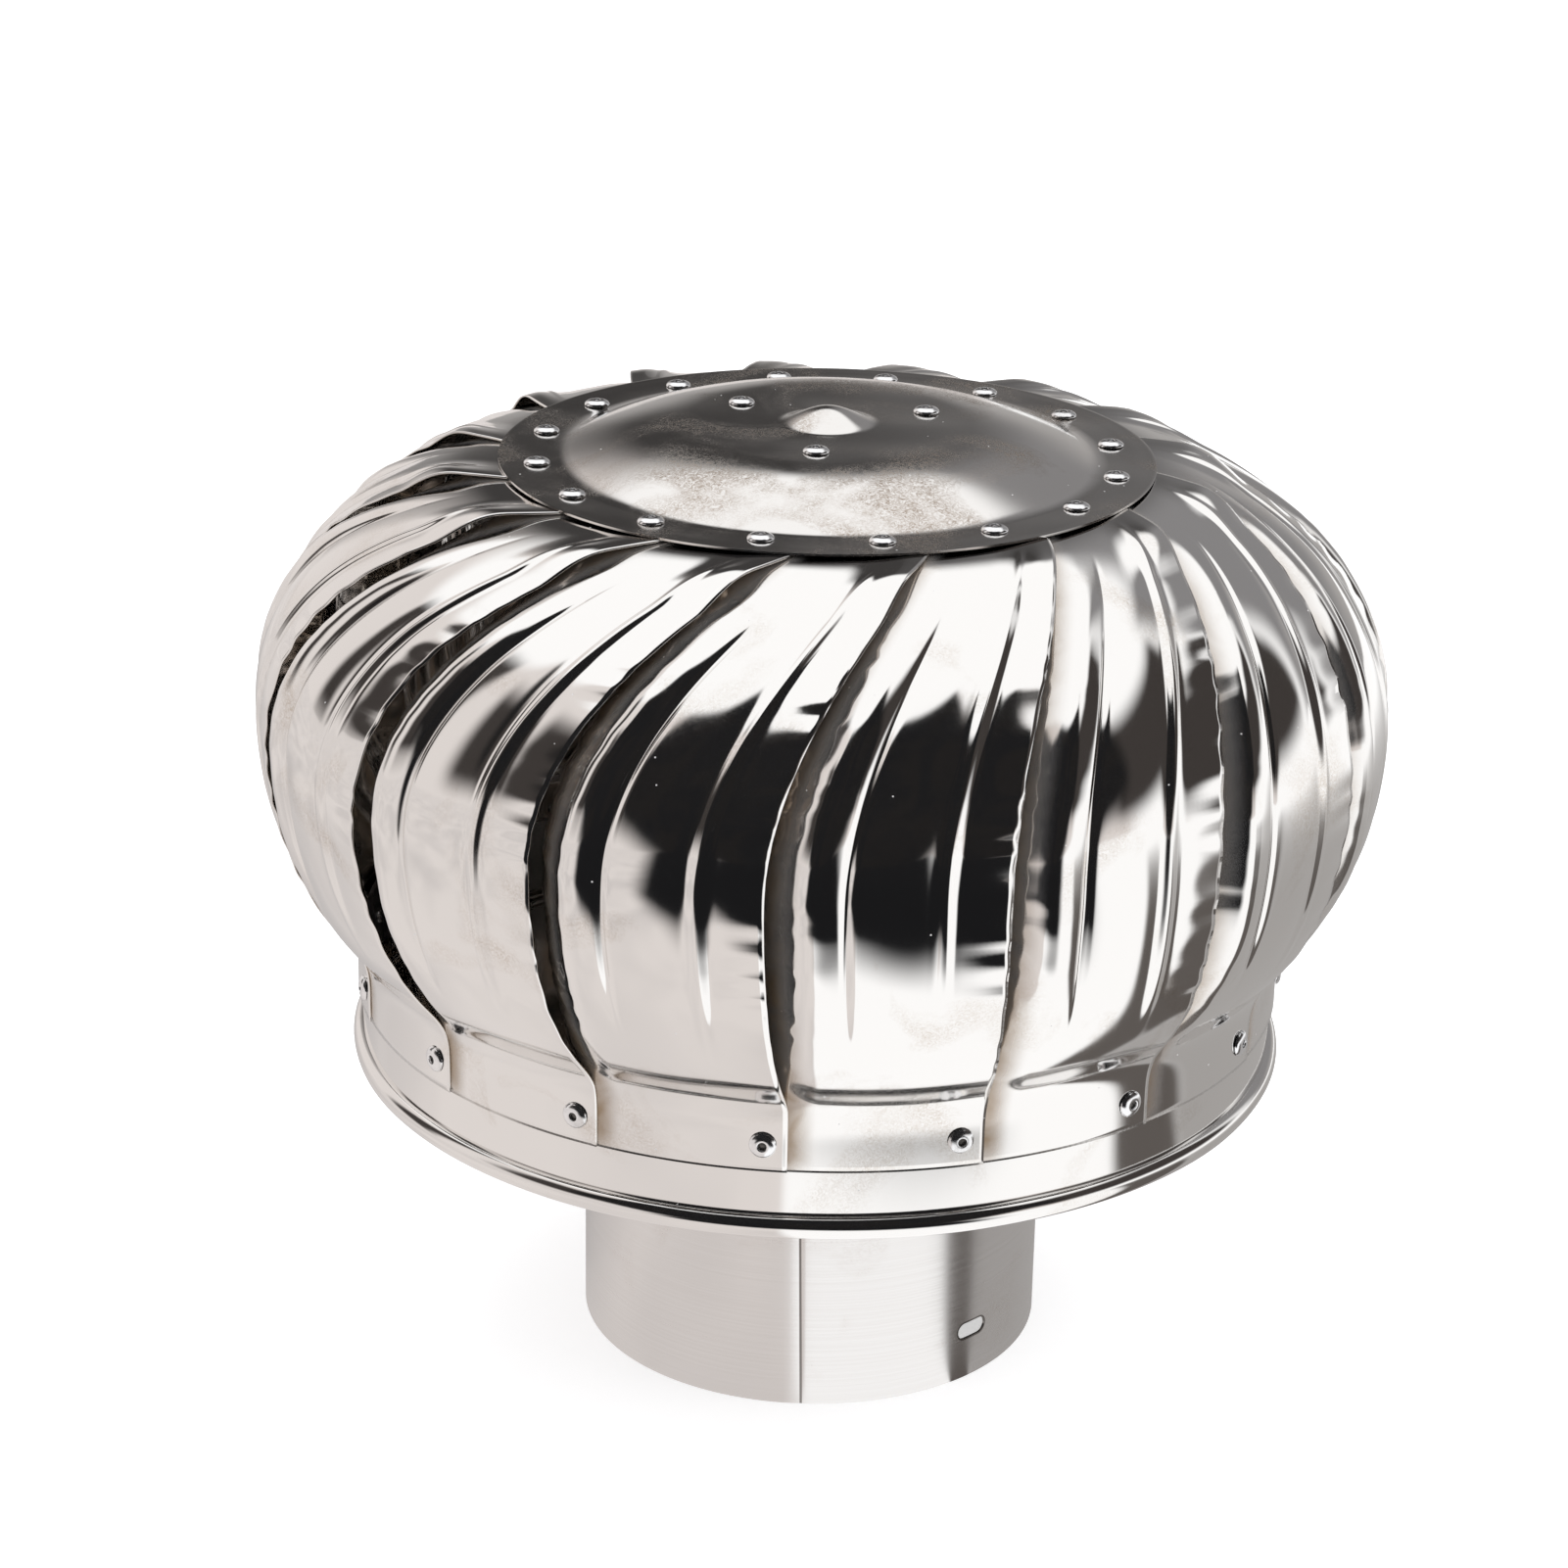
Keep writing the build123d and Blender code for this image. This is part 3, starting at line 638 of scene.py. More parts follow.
def sharpened(thing, limit):
    """Keeps folds crisp where two faces meet at more than the limit, in degrees."""
    thing.data.set_sharp_from_angle(angle=radians(limit))
    return thing


# %% [markdown]
# ### The cap
# The cap is pressed from one disc: a flat rim for the rivets, a low dome with a flat middle, and a small
# bump in the middle. Its edge and its middle hold still, while the sheet between them sags and waves a
# little, which is what breaks up the light on such a thin sheet.

# %% The cap
CAP_R, CAP_SHEET, CAP_RIM_Z = 74.7, 0.5, 214.7
DOME_R, DOME_FLAT_R, DOME_Z, DOME_ROUND = 60.5, 32.0, 222.3, 0.9
DOME_STEPS, BUMP_STEPS = 24, 14
BUMP_R, BUMP_H, BUMP_ROUND = 10.6, 3.6, 0.72
BLEND = 0.4  # how far outside its foot the dome starts to rise
CAP_WAVE, CAP_WAVE_SCALE, CAP_SIDES = 0.22, 0.045, 192


def cap_line(lower):
    """The cap's section from its rim in to its middle."""
    line = [(CAP_R, CAP_RIM_Z), (CAP_R - 0.12, CAP_RIM_Z + 0.02)] if not lower else [(CAP_R, CAP_RIM_Z)]
    line += [(r, CAP_RIM_Z) for r in (74.0, 72, 70, 67, 64, 61.6)]
    for step in range(1, DOME_STEPS + 1):
        share = step / DOME_STEPS
        r = DOME_R + BLEND - (DOME_R + BLEND - DOME_FLAT_R) * share
        line.append((r, CAP_RIM_Z + (DOME_Z - CAP_RIM_Z) * sin(pi / 2 * share) ** DOME_ROUND))
    line += [(r, DOME_Z) for r in (29, 26, 22, 18, 14.5, 12)]
    for step in range(0, BUMP_STEPS + 1):
        share = step / BUMP_STEPS
        height = BUMP_H * (0.5 - 0.5 * cos(pi * share)) ** BUMP_ROUND
        line.append(((BUMP_R + 0.6) * (1 - share), DOME_Z + height))
    return [(r, z - lower) for r, z in line]


def cap_sag(r, angle, z):
    loose = CAP_WAVE * float(smoothstep(r, 4, 20) * (1 - smoothstep(r, 66, 73)))
    return r, z + wobble(r, angle, 0, CAP_WAVE_SCALE, loose) - 0.5 * loose


cap = sharpened(turned("cap", cap_line(0) + cap_line(CAP_SHEET)[::-1], CAP_SIDES, cap_sag), 40)
cap_skin = finished(cap, "cap_skin", handled_steel)
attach(cap_skin, "rotor")
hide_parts("top_cap")
print("cap", len(cap_skin.data.polygons), "faces")

# %% [markdown]
# ### The ring
# The ring's band carries the vanes' tabs, a rolled bead stiffens its foot, and its pan runs in to an
# upturned lip round the pipe, which keeps the rain out. All of it is one section, so it is one outline.

# %% The ring
BAND_R, BAND_TOP_Z, BAND_FOOT_Z = 107.9, 101.0, 76.3
RING_SHEET, ROLL_R = 0.5, 2.3
PAN_LIP_R, PAN_LIP_Z, PAN_Z, PAN_FOLD_R = 58.8, 82.0, 71.7, 1.2
RING_WAVE, RING_WAVE_SCALE, RING_SIDES = 0.25, 0.03, 256
RING_INSET = 0.12  # keeps the waves inside the ring's true size


def ring_line(inward):
    """The ring's section from the top of its band, round the rolled bead, in to the lip at the pipe."""
    line = [(BAND_R - inward, z) for z in (BAND_TOP_Z, 98, 94, 90, 86, 82, 79, 77.6, BAND_FOOT_Z + 0.5)]
    line += arc(BAND_R, BAND_FOOT_Z - ROLL_R, ROLL_R + 0.1 - inward, ROLL_R + 0.5 - inward, 74, -90, 31)
    line += [(r, PAN_Z + inward) for r in (104, 98, 90, 80, 70, 62, 60.2)]
    fold = PAN_FOLD_R - inward
    line += arc(PAN_LIP_R + PAN_FOLD_R, PAN_Z + PAN_FOLD_R, fold, fold, -100, -180, 7)
    line += [(PAN_LIP_R + inward, z) for z in (75, 78, PAN_LIP_Z)]
    return line


def ring_sag(r, angle, z):
    loose = RING_WAVE * float(smoothstep(r, 90, 106))
    return r + wobble(r, angle, z, RING_WAVE_SCALE, loose) - RING_INSET, z


ring = sharpened(turned("ring", ring_line(0) + ring_line(RING_SHEET)[::-1], RING_SIDES, ring_sag), 40)
ring_skin = finished(ring, "ring_skin", mirror_steel)
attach(ring_skin, "rotor")
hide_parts("lower_ring")
print("ring", len(ring_skin.data.polygons), "faces")

# %% [markdown]
# ## The pipe
# The pipe is rolled from flat sheet, and its two ends meet in an upright seam. Beside the seam the wall
# sinks a little and then steps back out, and that small step is what catches the light. Two screw slots
# are cut near its foot, so a cutter of their shape is taken out with a Boolean modifier.

# %% The pipe and its seam
PIPE_R, PIPE_WALL, PIPE_TOP_Z, PIPE_SIDES = 55.0, 0.5, 100.0, 900
STOP_Z, STOP_HALF, STOP_OUT = 74.5, 2.0, 1.2
SEAM_FOOT, SEAM_TOP, SEAM_RUN = -91.9, -93.0, 48  # degrees, at the foot and this many millimetres up
SEAM_SINK, SEAM_SINK_WIDTH = 0.22, 2.2  # the widths are in degrees
SEAM_STEP, SEAM_STEP_WIDTH = 0.34, 0.35
SLOT_ANGLES, SLOT_Z, SLOT_LENGTH, SLOT_HEIGHT = (-45.8, 134.2), 12.3, 8.8, 4.0
SLOT_STRAIGHT = (SLOT_LENGTH - SLOT_HEIGHT) / 2  # from the slot's middle to the middle of its round end


def pipe_line(inward):
    line = [(PIPE_R - inward, z) for z in (0, 0.4, 4, 9, 16, 24, 32, 40, 48, 56, 64, 70)]
    for step in np.linspace(-1, 1, 11):
        line.append((PIPE_R - inward + STOP_OUT * (0.5 + 0.5 * cos(pi * step)), STOP_Z + STOP_HALF * step))
    return line + [(PIPE_R - inward, z) for z in (80, 88, 95, PIPE_TOP_Z)]


def seam(r, angle, z):
    at = SEAM_FOOT + (SEAM_TOP - SEAM_FOOT) * z / SEAM_RUN
    off = (degrees(angle) - at + 180) % 360 - 180
    if off < 0:
        return r - SEAM_SINK * float(np.exp(off / SEAM_SINK_WIDTH)), z
    return r - SEAM_STEP * float(np.exp(-off / SEAM_STEP_WIDTH)), z


pipe = turned("pipe", pipe_line(PIPE_WALL) + pipe_line(0)[::-1], PIPE_SIDES, seam)
print("pipe rolled, with its seam at", SEAM_FOOT, "degrees")


# %% [markdown]
# ### Grime and painted shade on the pipe
# Thin dark lines along the seam and round the slots' edges are partly dirt and partly painted shade, for the
# shadow in the seam's crevice and at the slots' cut edges. They are painted by the same values that shape
# them, so the lines can't drift from the metal.

# %% Draw the grime and painted shade
# The dark colour below is dirt together with painted shade in the seam's crevice and at the slots' edges.
GRIME_AND_SHADE, GRIME_AND_SHADE_SHARE = (0.12, 0.105, 0.095, 1), 0.8
SEAM_GRIME_AND_SHADE, SLOT_GRIME_AND_SHADE = 0.30, 0.42  # degrees to each side of the seam, and millimetres round a slot


def grimed_and_shaded(material):
    """Draws dark grime and painted shade along the seam and round the slots, over what the finish already
    has.
    """
    tree = material.node_tree
    base = tree.nodes["Principled BSDF"].inputs["Base Color"]
    place = add(tree, "ShaderNodeTexCoord").outputs["Object"]
    parts = add(tree, "ShaderNodeSeparateXYZ", {"Vector": place}).outputs
    turn = maths(tree, "DEGREES", maths(tree, "ARCTAN2", parts["Y"], parts["X"]))
    slant = (SEAM_TOP - SEAM_FOOT) / (SEAM_RUN * MM)
    line = times_plus(tree, parts["Z"], slant, SEAM_FOOT)
    # Painted shade and dirt along the seam, then round each slot.
    grime_and_shade = maths(tree, "COMPARE", turn, line, SEAM_GRIME_AND_SHADE)
    rise = times_plus(tree, parts["Z"], 1 / MM, -SLOT_Z)
    for angle in SLOT_ANGLES:
        aside = times(tree, maths(tree, "SUBTRACT", turn, angle), radians(PIPE_R))
        past_straight = maths(tree, "SUBTRACT", maths(tree, "ABSOLUTE", aside), SLOT_STRAIGHT)
        beyond = maths(tree, "MAXIMUM", past_straight, 0.0)
        squares = (times(tree, leg, leg) for leg in (beyond, rise))
        far = maths(tree, "POWER", maths(tree, "ADD", *squares), 0.5)
        rim = maths(tree, "LESS_THAN", far, SLOT_HEIGHT / 2 + SLOT_GRIME_AND_SHADE)
        grime_and_shade = maths(tree, "MAXIMUM", grime_and_shade, rim)
    amount = times(tree, grime_and_shade, GRIME_AND_SHADE_SHARE)
    tree.links.new(mixed(tree, amount, base.links[0].from_socket, GRIME_AND_SHADE), base)


grimed_and_shaded(pipe_steel)
print(len(pipe_steel.node_tree.nodes), "nodes in the pipe's finish")


# %% Cut the slots
def slot_cutter(angle):
    """A bar with the slot's outline, through the pipe's wall."""
    end = SLOT_HEIGHT / 2
    outline = arc(SLOT_STRAIGHT, 0, end, end, -90, 90, 13) + arc(-SLOT_STRAIGHT, 0, end, end, 90, 270, 13)
    count = len(outline)
    turn = Matrix.Rotation(radians(angle), 4, "Z")
    depths = (PIPE_R - 4, PIPE_R + 4)
    points = [turn @ Vector((depth, across, SLOT_Z + high)) for depth in depths for across, high in outline]
    faces = [list(range(count))[::-1], list(range(count, 2 * count))]
    faces += [(k, (k + 1) % count, count + (k + 1) % count, count + k) for k in range(count)]
    return mesh_object("slot_cutter", points, faces)


cutters = [slot_cutter(angle) for angle in SLOT_ANGLES]
for cutter in cutters:
    cut = pipe.modifiers.new("slot", "BOOLEAN")
    cut.object, cut.operation, cut.solver = cutter, "DIFFERENCE", "EXACT"
pipe_skin = finished(pipe, "pipe_skin", pipe_steel)
for cutter in cutters:
    bpy.data.objects.remove(cutter)
sharpened(pipe_skin, 50)
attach(pipe_skin, "base")
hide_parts("base_pipe")
print("pipe", len(pipe_skin.data.polygons), "faces")

# %% [markdown]
# ## Blind rivets
# A blind rivet is an aluminium cap on a tube, drawn tight by a steel pin that snaps off inside it. So its
# head is a low dome with a small hole, and the pin's broken end shows in the hole. One rivet is turned
# from its outline, and Geometry Nodes set it round a circle, upright on level sheet or lying out of a wall.
# The tree ends with two Set Material nodes, aluminium for all and then a near-black steel for the faces
# marked as pin, whose dark colour also paints the shade down in the hole.

# %% Geometry Nodes for a circle of rivets
rivet_inputs = [
    ("Rivet", "Object"), ("Count", "Int"), ("Circle", "Float"), ("Height", "Float"), ("First", "Float"),
    ("Lay", "Float"), ("Head", "Material"), ("Pin", "Material"),
]
rivet_tree, given, rivet_out = new_node_tree("rivet_circle", rivet_inputs)
seats = add(rivet_tree, "GeometryNodeMeshLine", {"Count": given["Count"]}).outputs["Mesh"]
index = add(rivet_tree, "GeometryNodeInputIndex").outputs[0]
step = maths(rivet_tree, "DIVIDE", 2 * pi, given["Count"])
turn = maths(rivet_tree, "ADD", times(rivet_tree, index, step), given["First"])
seat_x = times(rivet_tree, given["Circle"], maths(rivet_tree, "COSINE", turn))
seat_y = times(rivet_tree, given["Circle"], maths(rivet_tree, "SINE", turn))
seat = add(rivet_tree, "ShaderNodeCombineXYZ", {"X": seat_x, "Y": seat_y, "Z": given["Height"]}).outputs[0]
placed = add(rivet_tree, "GeometryNodeSetPosition", {"Geometry": seats, "Position": seat}).outputs[0]
points = add(rivet_tree, "GeometryNodeMeshToPoints", {"Mesh": placed}).outputs[0]
facing = add(rivet_tree, "ShaderNodeCombineXYZ", {"Y": given["Lay"], "Z": turn}).outputs[0]
shape = add(rivet_tree, "GeometryNodeObjectInfo", {"Object": given["Rivet"]}).outputs["Geometry"]
set_out = {"Points": points, "Instance": shape, "Rotation": facing}
spread = add(rivet_tree, "GeometryNodeInstanceOnPoints", set_out).outputs[0]
real = add(rivet_tree, "GeometryNodeRealizeInstances", {"Geometry": spread}).outputs[0]
headed = add(rivet_tree, "GeometryNodeSetMaterial", {"Geometry": real, "Material": given["Head"]}).outputs[0]
is_pin = add(rivet_tree, "GeometryNodeInputNamedAttribute", {"Name": "pin"}, data_type="BOOLEAN")
steel = {"Geometry": headed, "Selection": is_pin.outputs["Attribute"], "Material": given["Pin"]}
pinned = add(rivet_tree, "GeometryNodeSetMaterial", steel).outputs[0]
rivet_tree.links.new(pinned, rivet_out.inputs[0])
print(len(rivet_tree.nodes), "nodes set a circle of rivets")

# %% One rivet
RIVET_SIDES = 20
PIN_R, PIN_LOW, PIN_HIGH = 0.88 * MM, 0.2 * MM, 0.7 * MM  # faces in here are the pin's


def rivet_outline(grip):
    head = [
        (3.0, 0.0), (3.0, 0.14), (2.9, 0.38), (2.62, 0.66), (2.2, 0.9), (1.7, 1.06), (1.25, 1.12),
        (1.02, 1.06), (0.92, 0.85),
    ]
    pin = [(0.9, 0.32), (0.6, 0.42), (0.0, 0.5)]
    tail = [(0.0, -grip), (1.0, -grip), (1.45, -grip + 0.3), (1.58, -grip + 0.9), (1.58, 0.0)]
    return tail + head + pin


def on_pin(face):
    return PIN_LOW < face.center.z < PIN_HIGH and face.center.xy.length < PIN_R


def set_rivets(name, grip, count, circle, height, first, lay, body):
    """lay is 0 for a rivet that stands on a level sheet and 90 for one that stands out of a wall."""
    single = sharpened(turned("single_rivet", rivet_outline(grip), RIVET_SIDES), 50)
    pin = single.data.attributes.new("pin", "BOOLEAN", "FACE")
    pin.data.foreach_set("value", [on_pin(face) for face in single.data.polygons])
    carrier = mesh_object("carrier", [(0, 0, 0)], [])
    run_tree(carrier, rivet_tree, {
        "Rivet": single, "Count": count, "Circle": circle * MM, "Height": height * MM,
        "First": radians(first), "Lay": radians(lay), "Head": rivet_aluminium, "Pin": pin_steel_and_hole_shade,
    })
    rivets = linked(name, evaluated_mesh(carrier, name))
    bpy.data.objects.remove(carrier)
    bpy.data.objects.remove(single)
    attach(rivets, body)
    return rivets


# %% Set the rivets
SEAT_GAP = 0.05  # between a rivet's head and its sheet
CAP_RIVET_R, CAP_RIVET_TURN = 66.3, FREE_EDGE + TWIST - 8.7
DOME_RIVETS, DOME_RIVET_R, DOME_RIVET_TURN = 3, 24.6, -96.35
BAND_RIVET_Z, BAND_RIVET_TURN = 93.5, FREE_EDGE + FLANK_TWIST - 2.8
SPOKES, HUB_RIVET_R, HUB_RIVET_Z = 4, 15.1, 137.0
SPOKE_TURN = BAND_RIVET_TURN - 3.1879  # a spoke's blade, from the band rivet beside it
HUB_RIVET_TURN = SPOKE_TURN + 23.1325
STRAP_RIVETS, STRAP_RIVET_Z = 4, 91.0
circles = [  # name, grip, count, radius, height, first angle, lay, body
    ("cap", 2.0, VANES, CAP_RIVET_R, CAP_RIM_Z + SEAT_GAP, CAP_RIVET_TURN, 0, "rotor"),
    ("dome", 2.8, DOME_RIVETS, DOME_RIVET_R, DOME_Z + SEAT_GAP, DOME_RIVET_TURN, 0, "rotor"),
    ("band", 3.7, VANES, TAB_R + SEAT_GAP, BAND_RIVET_Z, BAND_RIVET_TURN, 90, "rotor"),
    ("spoke", 5.4, SPOKES, HUB_RIVET_R, HUB_RIVET_Z, HUB_RIVET_TURN, 90, "rotor"),
    ("strap", 3.1, STRAP_RIVETS, PIPE_R + SEAT_GAP, STRAP_RIVET_Z, 0, 90, "base"),
]
for name, *sizes in circles:
    heads = set_rivets(f"{name}_rivet_heads", *sizes)
    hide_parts(f"{name}_rivets")
    print(heads.name, len(heads.data.polygons), "faces")

# %% [markdown]
# ## Inside
# The post, the straps, the hub, the spokes and the bearings keep their exact solids and only get a finish.
# The material goes on the object's slot, so the frame's own mesh isn't touched.

# %% Finish the inner parts
race_parts = ("inner_race", "outer_race", "ball_ring")
races = [f"{place}_{part}" for place in ("lower", "upper") for part in race_parts]
spokes = [f"spoke_{number}" for number in range(1, SPOKES + 1)]
inner_finish = [
    (bracket_steel, ["lower_strap", "upper_strap", "bearing_housing", *spokes]),
    (plated_steel, ["post", "foot_washer", "foot_nut", "spacer_sleeve", "top_washer", "top_nut", "hub"]),
    (bearing_steel, races),
]
for finish, nodes in inner_finish:
    for node in nodes:
        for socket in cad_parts[node].material_slots:
            socket.link = "OBJECT"
            socket.material = finish
print(sum(len(nodes) for _, nodes in inner_finish), "inner parts finished")

# %% [markdown]
# ## The studio
# A mirror shows its room, so the room matters as much as the sheet. The floor and the air are white to the
# camera. What the metal sees is painted on the air by direction, with soft borders as lit cloth has: white
# overhead, dark in front, where the room is unlit, a grey wall behind, and pale cloth at both sides. A Light
# Path node tells the two apart, so the object's own light stays plain.


# %% Painting by direction
def smooth_range(tree, value, start, end):
    inputs = {"Value": value, "From Min": start, "From Max": end}
    return add(tree, "ShaderNodeMapRange", inputs, interpolation_type="SMOOTHSTEP").outputs["Result"]


def window(tree, value, low, high, soft):
    """1 between two limits and 0 outside them, with soft borders."""
    rising = smooth_range(tree, value, low - soft, low + soft)
    return times(tree, rising, smooth_range(tree, value, high + soft, high - soft))


def bearings(tree, vector):
    """Degrees round from the camera's side, right positive, a vector's parts, and its length that way."""
    parts = add(tree, "ShaderNodeSeparateXYZ", {"Vector": vector}).outputs
    toward_camera = times(tree, parts["Y"], -1.0)
    around = maths(tree, "DEGREES", maths(tree, "ARCTAN2", parts["X"], toward_camera))
    return around, parts, toward_camera


def painted(tree, under, layers):
    """Lays colours over each other in order, each with its mask."""
    for mask, colour in layers:
        under = mixed(tree, mask, under, (*colour, 1))
    return under


PINK_GREY = (0.84, 0.79, 0.765)
PINK_SHADE = (0.70, 0.66, 0.645)
WHITE = (1.15, 1.15, 1.15)
BLACK = (0.0115, 0.0115, 0.0125)
SOFT_BLACK = (0.0150, 0.0138, 0.0135)
CHARCOAL = (0.052, 0.045, 0.042)
WALL_GREY = (0.052, 0.049, 0.048)
SIDE_GREY = (0.27, 0.265, 0.268)
STRIP_GREY = (0.125, 0.112, 0.104)
PALE_GREY = (0.42, 0.405, 0.395)

# %% The air
CLOTH_HEIGHT, CLOTH_RISE, CLOTH_SKEW = 57.0, 26.0, 8.0  # the white cloth's lower edge, in degrees
SILL_HALF, SILL_RISE, SILL_FOOT = 57.0, 27.0, -12.0  # the unlit room's lower edge, a curve
AIR_COLOUR, AIR_LIGHT = (0.97, 0.97, 1.0, 1), 0.72
CLOTH_UP, SILL_UP = 200, 300  # past any height

world = bpy.data.worlds.new("studio_air")
bpy.context.scene.world = world
world.use_nodes = True
air = world.node_tree
air.nodes.clear()
path = add(air, "ShaderNodeLightPath").outputs
facing = add(air, "ShaderNodeTexCoord").outputs["Generated"]
around_front, parts, toward_camera = bearings(air, facing)
height = maths(air, "DEGREES", maths(air, "ARCSINE", parts["Z"]))
skewed = times_plus(air, parts["X"], CLOTH_SKEW, CLOTH_HEIGHT)
cloth_edge = times_plus(air, toward_camera, CLOTH_RISE, skewed)
above_edge = maths(air, "SUBTRACT", height, cloth_edge)
share_aside = maths(air, "ABSOLUTE", maths(air, "DIVIDE", around_front, SILL_HALF))
sill = times_plus(air, maths(air, "POWER", share_aside, 2.0), SILL_RISE, SILL_FOOT)
above_sill = maths(air, "SUBTRACT", height, sill)


def stretch(first, last, soft, low, high, high_soft):
    """A mask for a stretch of wall: degrees round from the front, and degrees above the horizon."""
    return times(air, window(air, around_front, first, last, soft), window(air, height, low, high, high_soft))


unlit = mixed(air, cloud(air, facing, 2.6, 0.42, 0.62, 3.0, 1.0), (*BLACK, 1), (*SOFT_BLACK, 1))
room = painted(air, (*PINK_GREY, 1), [
    (window(air, around_front, 62, 200, 6), WHITE),
    (stretch(126, 200, 8, -40, 57, 7), SIDE_GREY),
    (stretch(-200, -160, 10, -40, 50, 7), WALL_GREY),
    (stretch(173, 200, 10, -40, 57, 7), WALL_GREY),
    (stretch(136, 200, 12, -90, 11, 8), PALE_GREY),
    (stretch(-200, -166, 12, -90, 9, 8), PALE_GREY),
    (stretch(52, 119, 5, 6, 47, 6), CHARCOAL),
    (stretch(-80, -50, 7, 6, 44, 7), CHARCOAL),
    (stretch(-118, -101, 4, 0, 52, 7), CHARCOAL),
])
in_front = times(air, window(air, around_front, -60, 62, 4), window(air, above_sill, 0, SILL_UP, 7))
room = mixed(air, in_front, room, unlit)
room = painted(air, room, [(window(air, above_edge, 0, CLOTH_UP, 3.5), WHITE)])
white = add(air, "ShaderNodeBackground", {"Color": (1, 1, 1, 1), "Strength": 1.0}).outputs[0]
soft = add(air, "ShaderNodeBackground", {"Color": AIR_COLOUR, "Strength": AIR_LIGHT}).outputs[0]
seen_in_metal = add(air, "ShaderNodeBackground", {"Color": room, "Strength": 1.0}).outputs[0]
glossy = path["Is Glossy Ray"]
lit_or_seen = add(air, "ShaderNodeMixShader", {0: glossy, 1: soft, 2: seen_in_metal}).outputs[0]
straight = maths(air, "MAXIMUM", path["Is Camera Ray"], path["Is Transmission Ray"])
whole = add(air, "ShaderNodeMixShader", {0: straight, 1: lit_or_seen, 2: white}).outputs[0]
add(air, "ShaderNodeOutputWorld", {"Surface": whole})
print(len(air.nodes), "nodes paint the air")

# %% [markdown]
# ### The floor
# Metal that faces down mirrors the lit table near it and the dark room past its edge. So the floor is
# painted too, for mirror rays alone, while the camera sees white paper with the object's shadow.

# %% The floor
HALF_FLOOR = 9000  # millimetres
PAPER_WHITE, PAPER_ROUGH, PAPER_GLOW = (0.93, 0.93, 0.93, 1), 0.9, 0.55
FAR = 90  # metres, past any edge
EDGE_PLACE, EDGE_SLANT = 0.325, 0.44  # the table's front edge
CLOTH_PLACE, CLOTH_SLANT = 0.0029, -0.105  # the white cloth's left edge
STRIP_ASIDE, STRIP_FORWARD = 0.0236, 0.040  # where the strips beside the pipe run out from

corners = [(x * HALF_FLOOR, y * HALF_FLOOR, 0) for x, y in ((-1, -1), (1, -1), (1, 1), (-1, 1))]
floor = mesh_object("floor", corners, [(0, 1, 2, 3)])
floor_white = bpy.data.materials.new("floor_white")
floor_white.use_nodes = True
ground = floor_white.node_tree
paper = ground.nodes["Principled BSDF"]
paper.inputs["Base Color"].default_value = PAPER_WHITE
paper.inputs["Roughness"].default_value = PAPER_ROUGH
paper.inputs["Specular IOR Level"].default_value = 0.0
path = add(ground, "ShaderNodeLightPath").outputs
place = add(ground, "ShaderNodeTexCoord").outputs["Object"]
around_front, parts, toward_camera = bearings(ground, place)
away = add(ground, "ShaderNodeVectorMath", {0: place}, operation="LENGTH").outputs["Value"]
from_edge = maths(ground, "SUBTRACT", toward_camera, EDGE_PLACE)
past_edge = times_plus(ground, parts["X"], EDGE_SLANT, from_edge)
strip_x = maths(ground, "SUBTRACT", maths(ground, "ABSOLUTE", parts["X"]), STRIP_ASIDE)
strip_y = maths(ground, "ADD", parts["Y"], STRIP_FORWARD)
from_strips = add(ground, "ShaderNodeCombineXYZ", {"X": strip_x, "Y": strip_y}).outputs[0]
beside = bearings(ground, from_strips)[0]
to_right = window(ground, parts["X"], 0.0, FAR, 0.001)
to_left = window(ground, parts["X"], -FAR, 0.0, 0.001)
from_cloth = maths(ground, "SUBTRACT", parts["X"], CLOTH_PLACE)
right_cloth = times_plus(ground, parts["Y"], CLOTH_SLANT, from_cloth)
near = window(ground, away, -9, 0.7, 0.4)
shade = cloud(ground, place, 6.0, 0.40, 0.66, 2.0, 0.5)
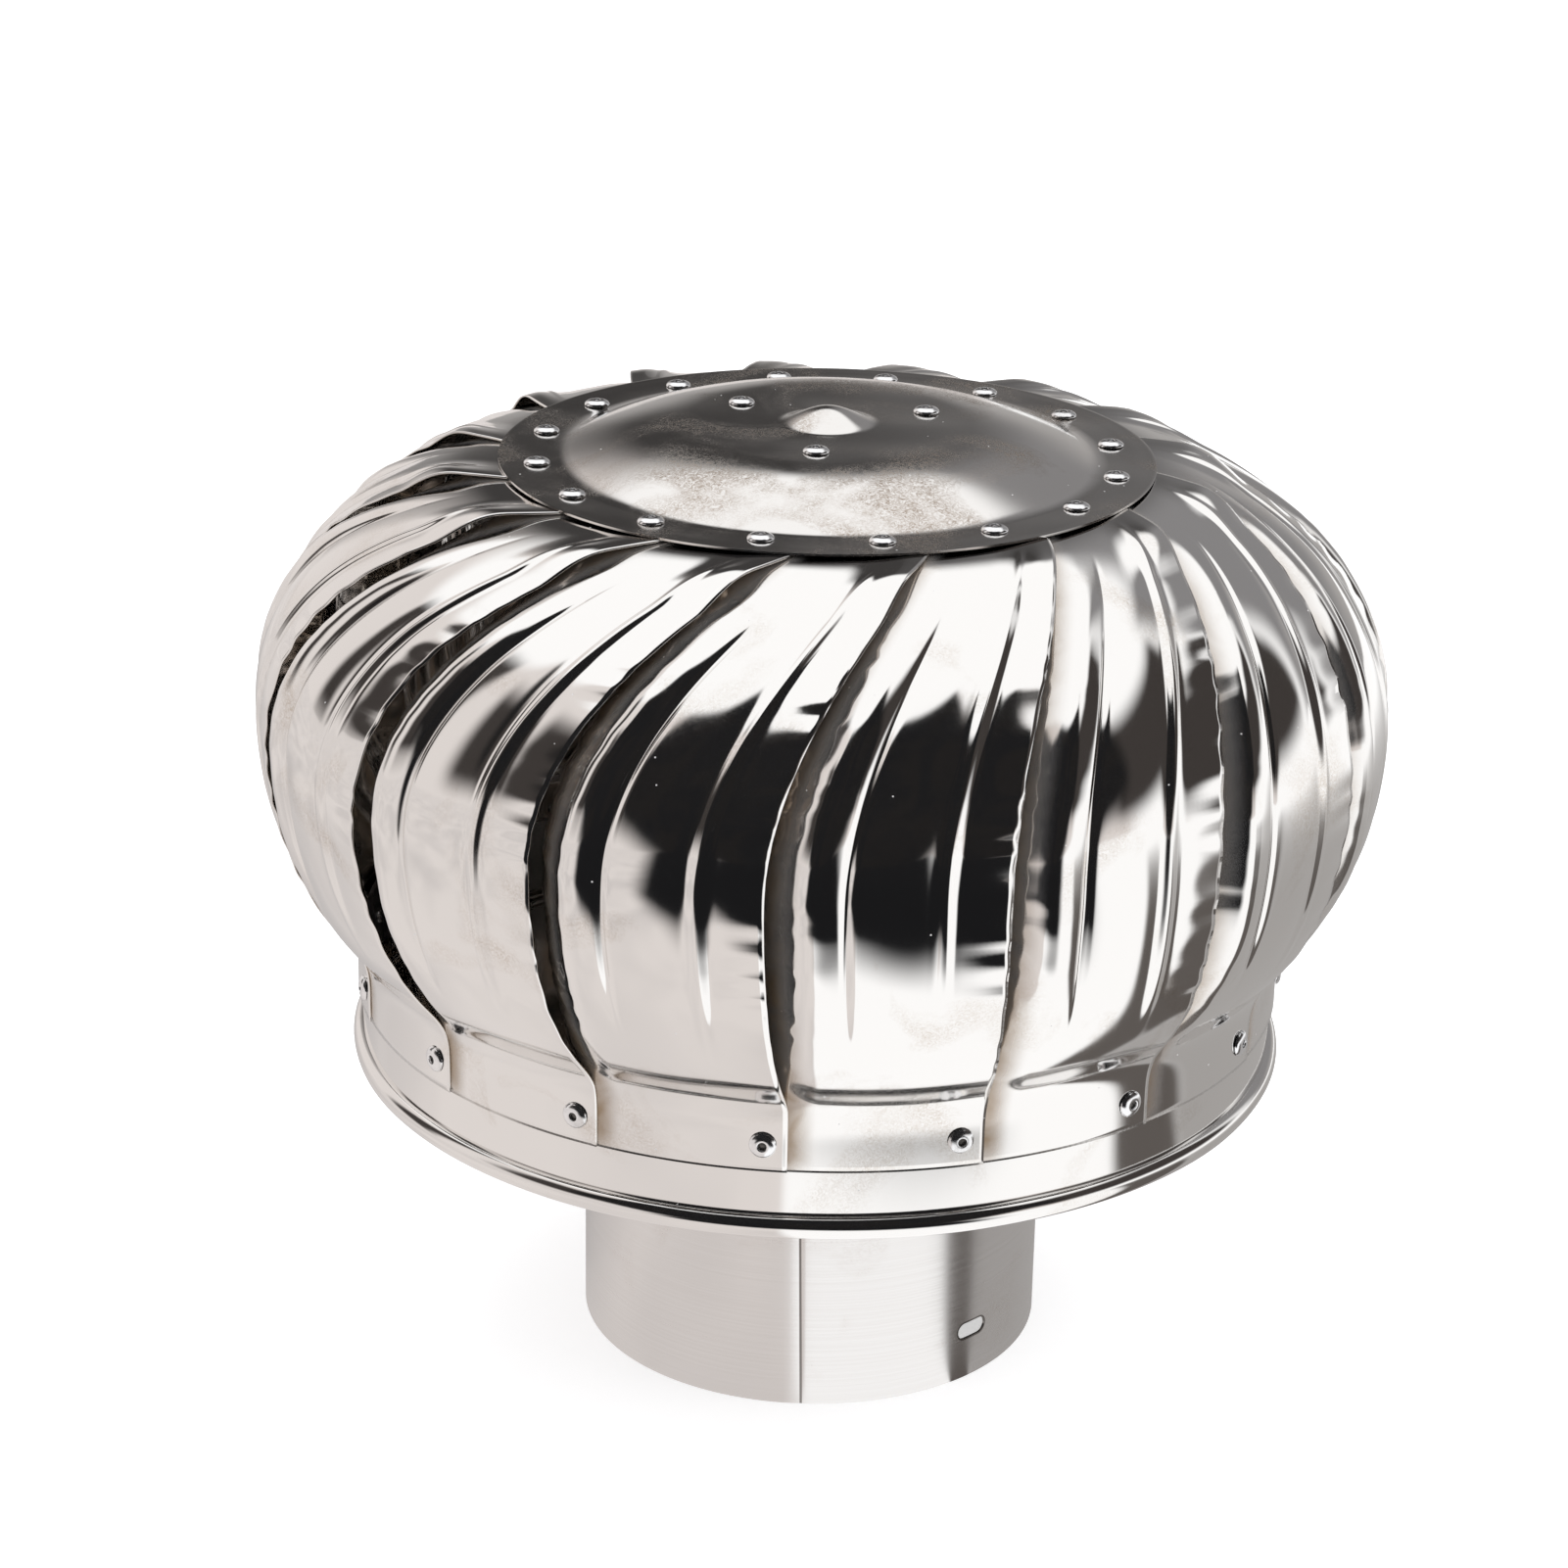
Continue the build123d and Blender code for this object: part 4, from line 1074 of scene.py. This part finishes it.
cloth = mixed(ground, shade, (*PINK_GREY, 1), (*PINK_SHADE, 1))


def strip(side, first, last, soft):
    """A mask for a strip of floor on one side, near the pipe."""
    return times(ground, times(ground, side, window(ground, beside, first, last, soft)), near)


dark_table = times(ground, window(ground, around_front, -34, 37, 6), window(ground, past_edge, 0, FAR, 0.06))
table = painted(ground, cloth, [
    (window(ground, right_cloth, 0, FAR, 0.004), WHITE),
    (dark_table, BLACK),
    (strip(to_right, 90, 200, 4), PALE_GREY),
    (strip(to_right, 70, 91, 2.5), STRIP_GREY),
    (strip(to_left, 150, 300, 46), SIDE_GREY),
])
mirrored = add(ground, "ShaderNodeEmission", {"Color": table, "Strength": 1.0}).outputs[0]
glow = times(ground, path["Is Camera Ray"], PAPER_GLOW)
lit = add(ground, "ShaderNodeEmission", {"Color": (1, 1, 1, 1), "Strength": glow}).outputs[0]
paper_lit = add(ground, "ShaderNodeAddShader", {0: paper.outputs[0], 1: lit}).outputs[0]
surface = add(ground, "ShaderNodeMixShader", {0: path["Is Glossy Ray"], 1: paper_lit, 2: mirrored}).outputs[0]
ground.links.new(surface, ground.nodes["Material Output"].inputs["Surface"])
floor.data.materials.append(floor_white)
print(len(ground.nodes), "nodes paint the floor")

# %% [markdown]
# ### Lamps
# Two softboxes cast the soft shadow. The metal doesn't mirror them, as a hard square of light on a vane
# would hide the painted room.


# %% Set the lamps
def lamp(name, place, aim, size, power):
    data = bpy.data.lights.new(name, "AREA")
    data.shape, data.size, data.size_y, data.energy = "RECTANGLE", size[0], size[1], power
    light = linked(name, data)
    light.location = place
    light.visible_glossy = False
    light.rotation_euler = (Vector(aim) - Vector(place)).to_track_quat("-Z", "Y").to_euler()


lamp("overhead_softbox", place=(0, 0.75, 1.7), aim=(0, 0.1, 0.1), size=(1.8, 1.3), power=9)
lamp("right_softbox", place=(1.5, -0.3, 0.9), aim=(0, 0, 0.12), size=(0.9, 1.2), power=5)
bpy.context.scene.view_settings.view_transform = "Standard"
print("studio set")
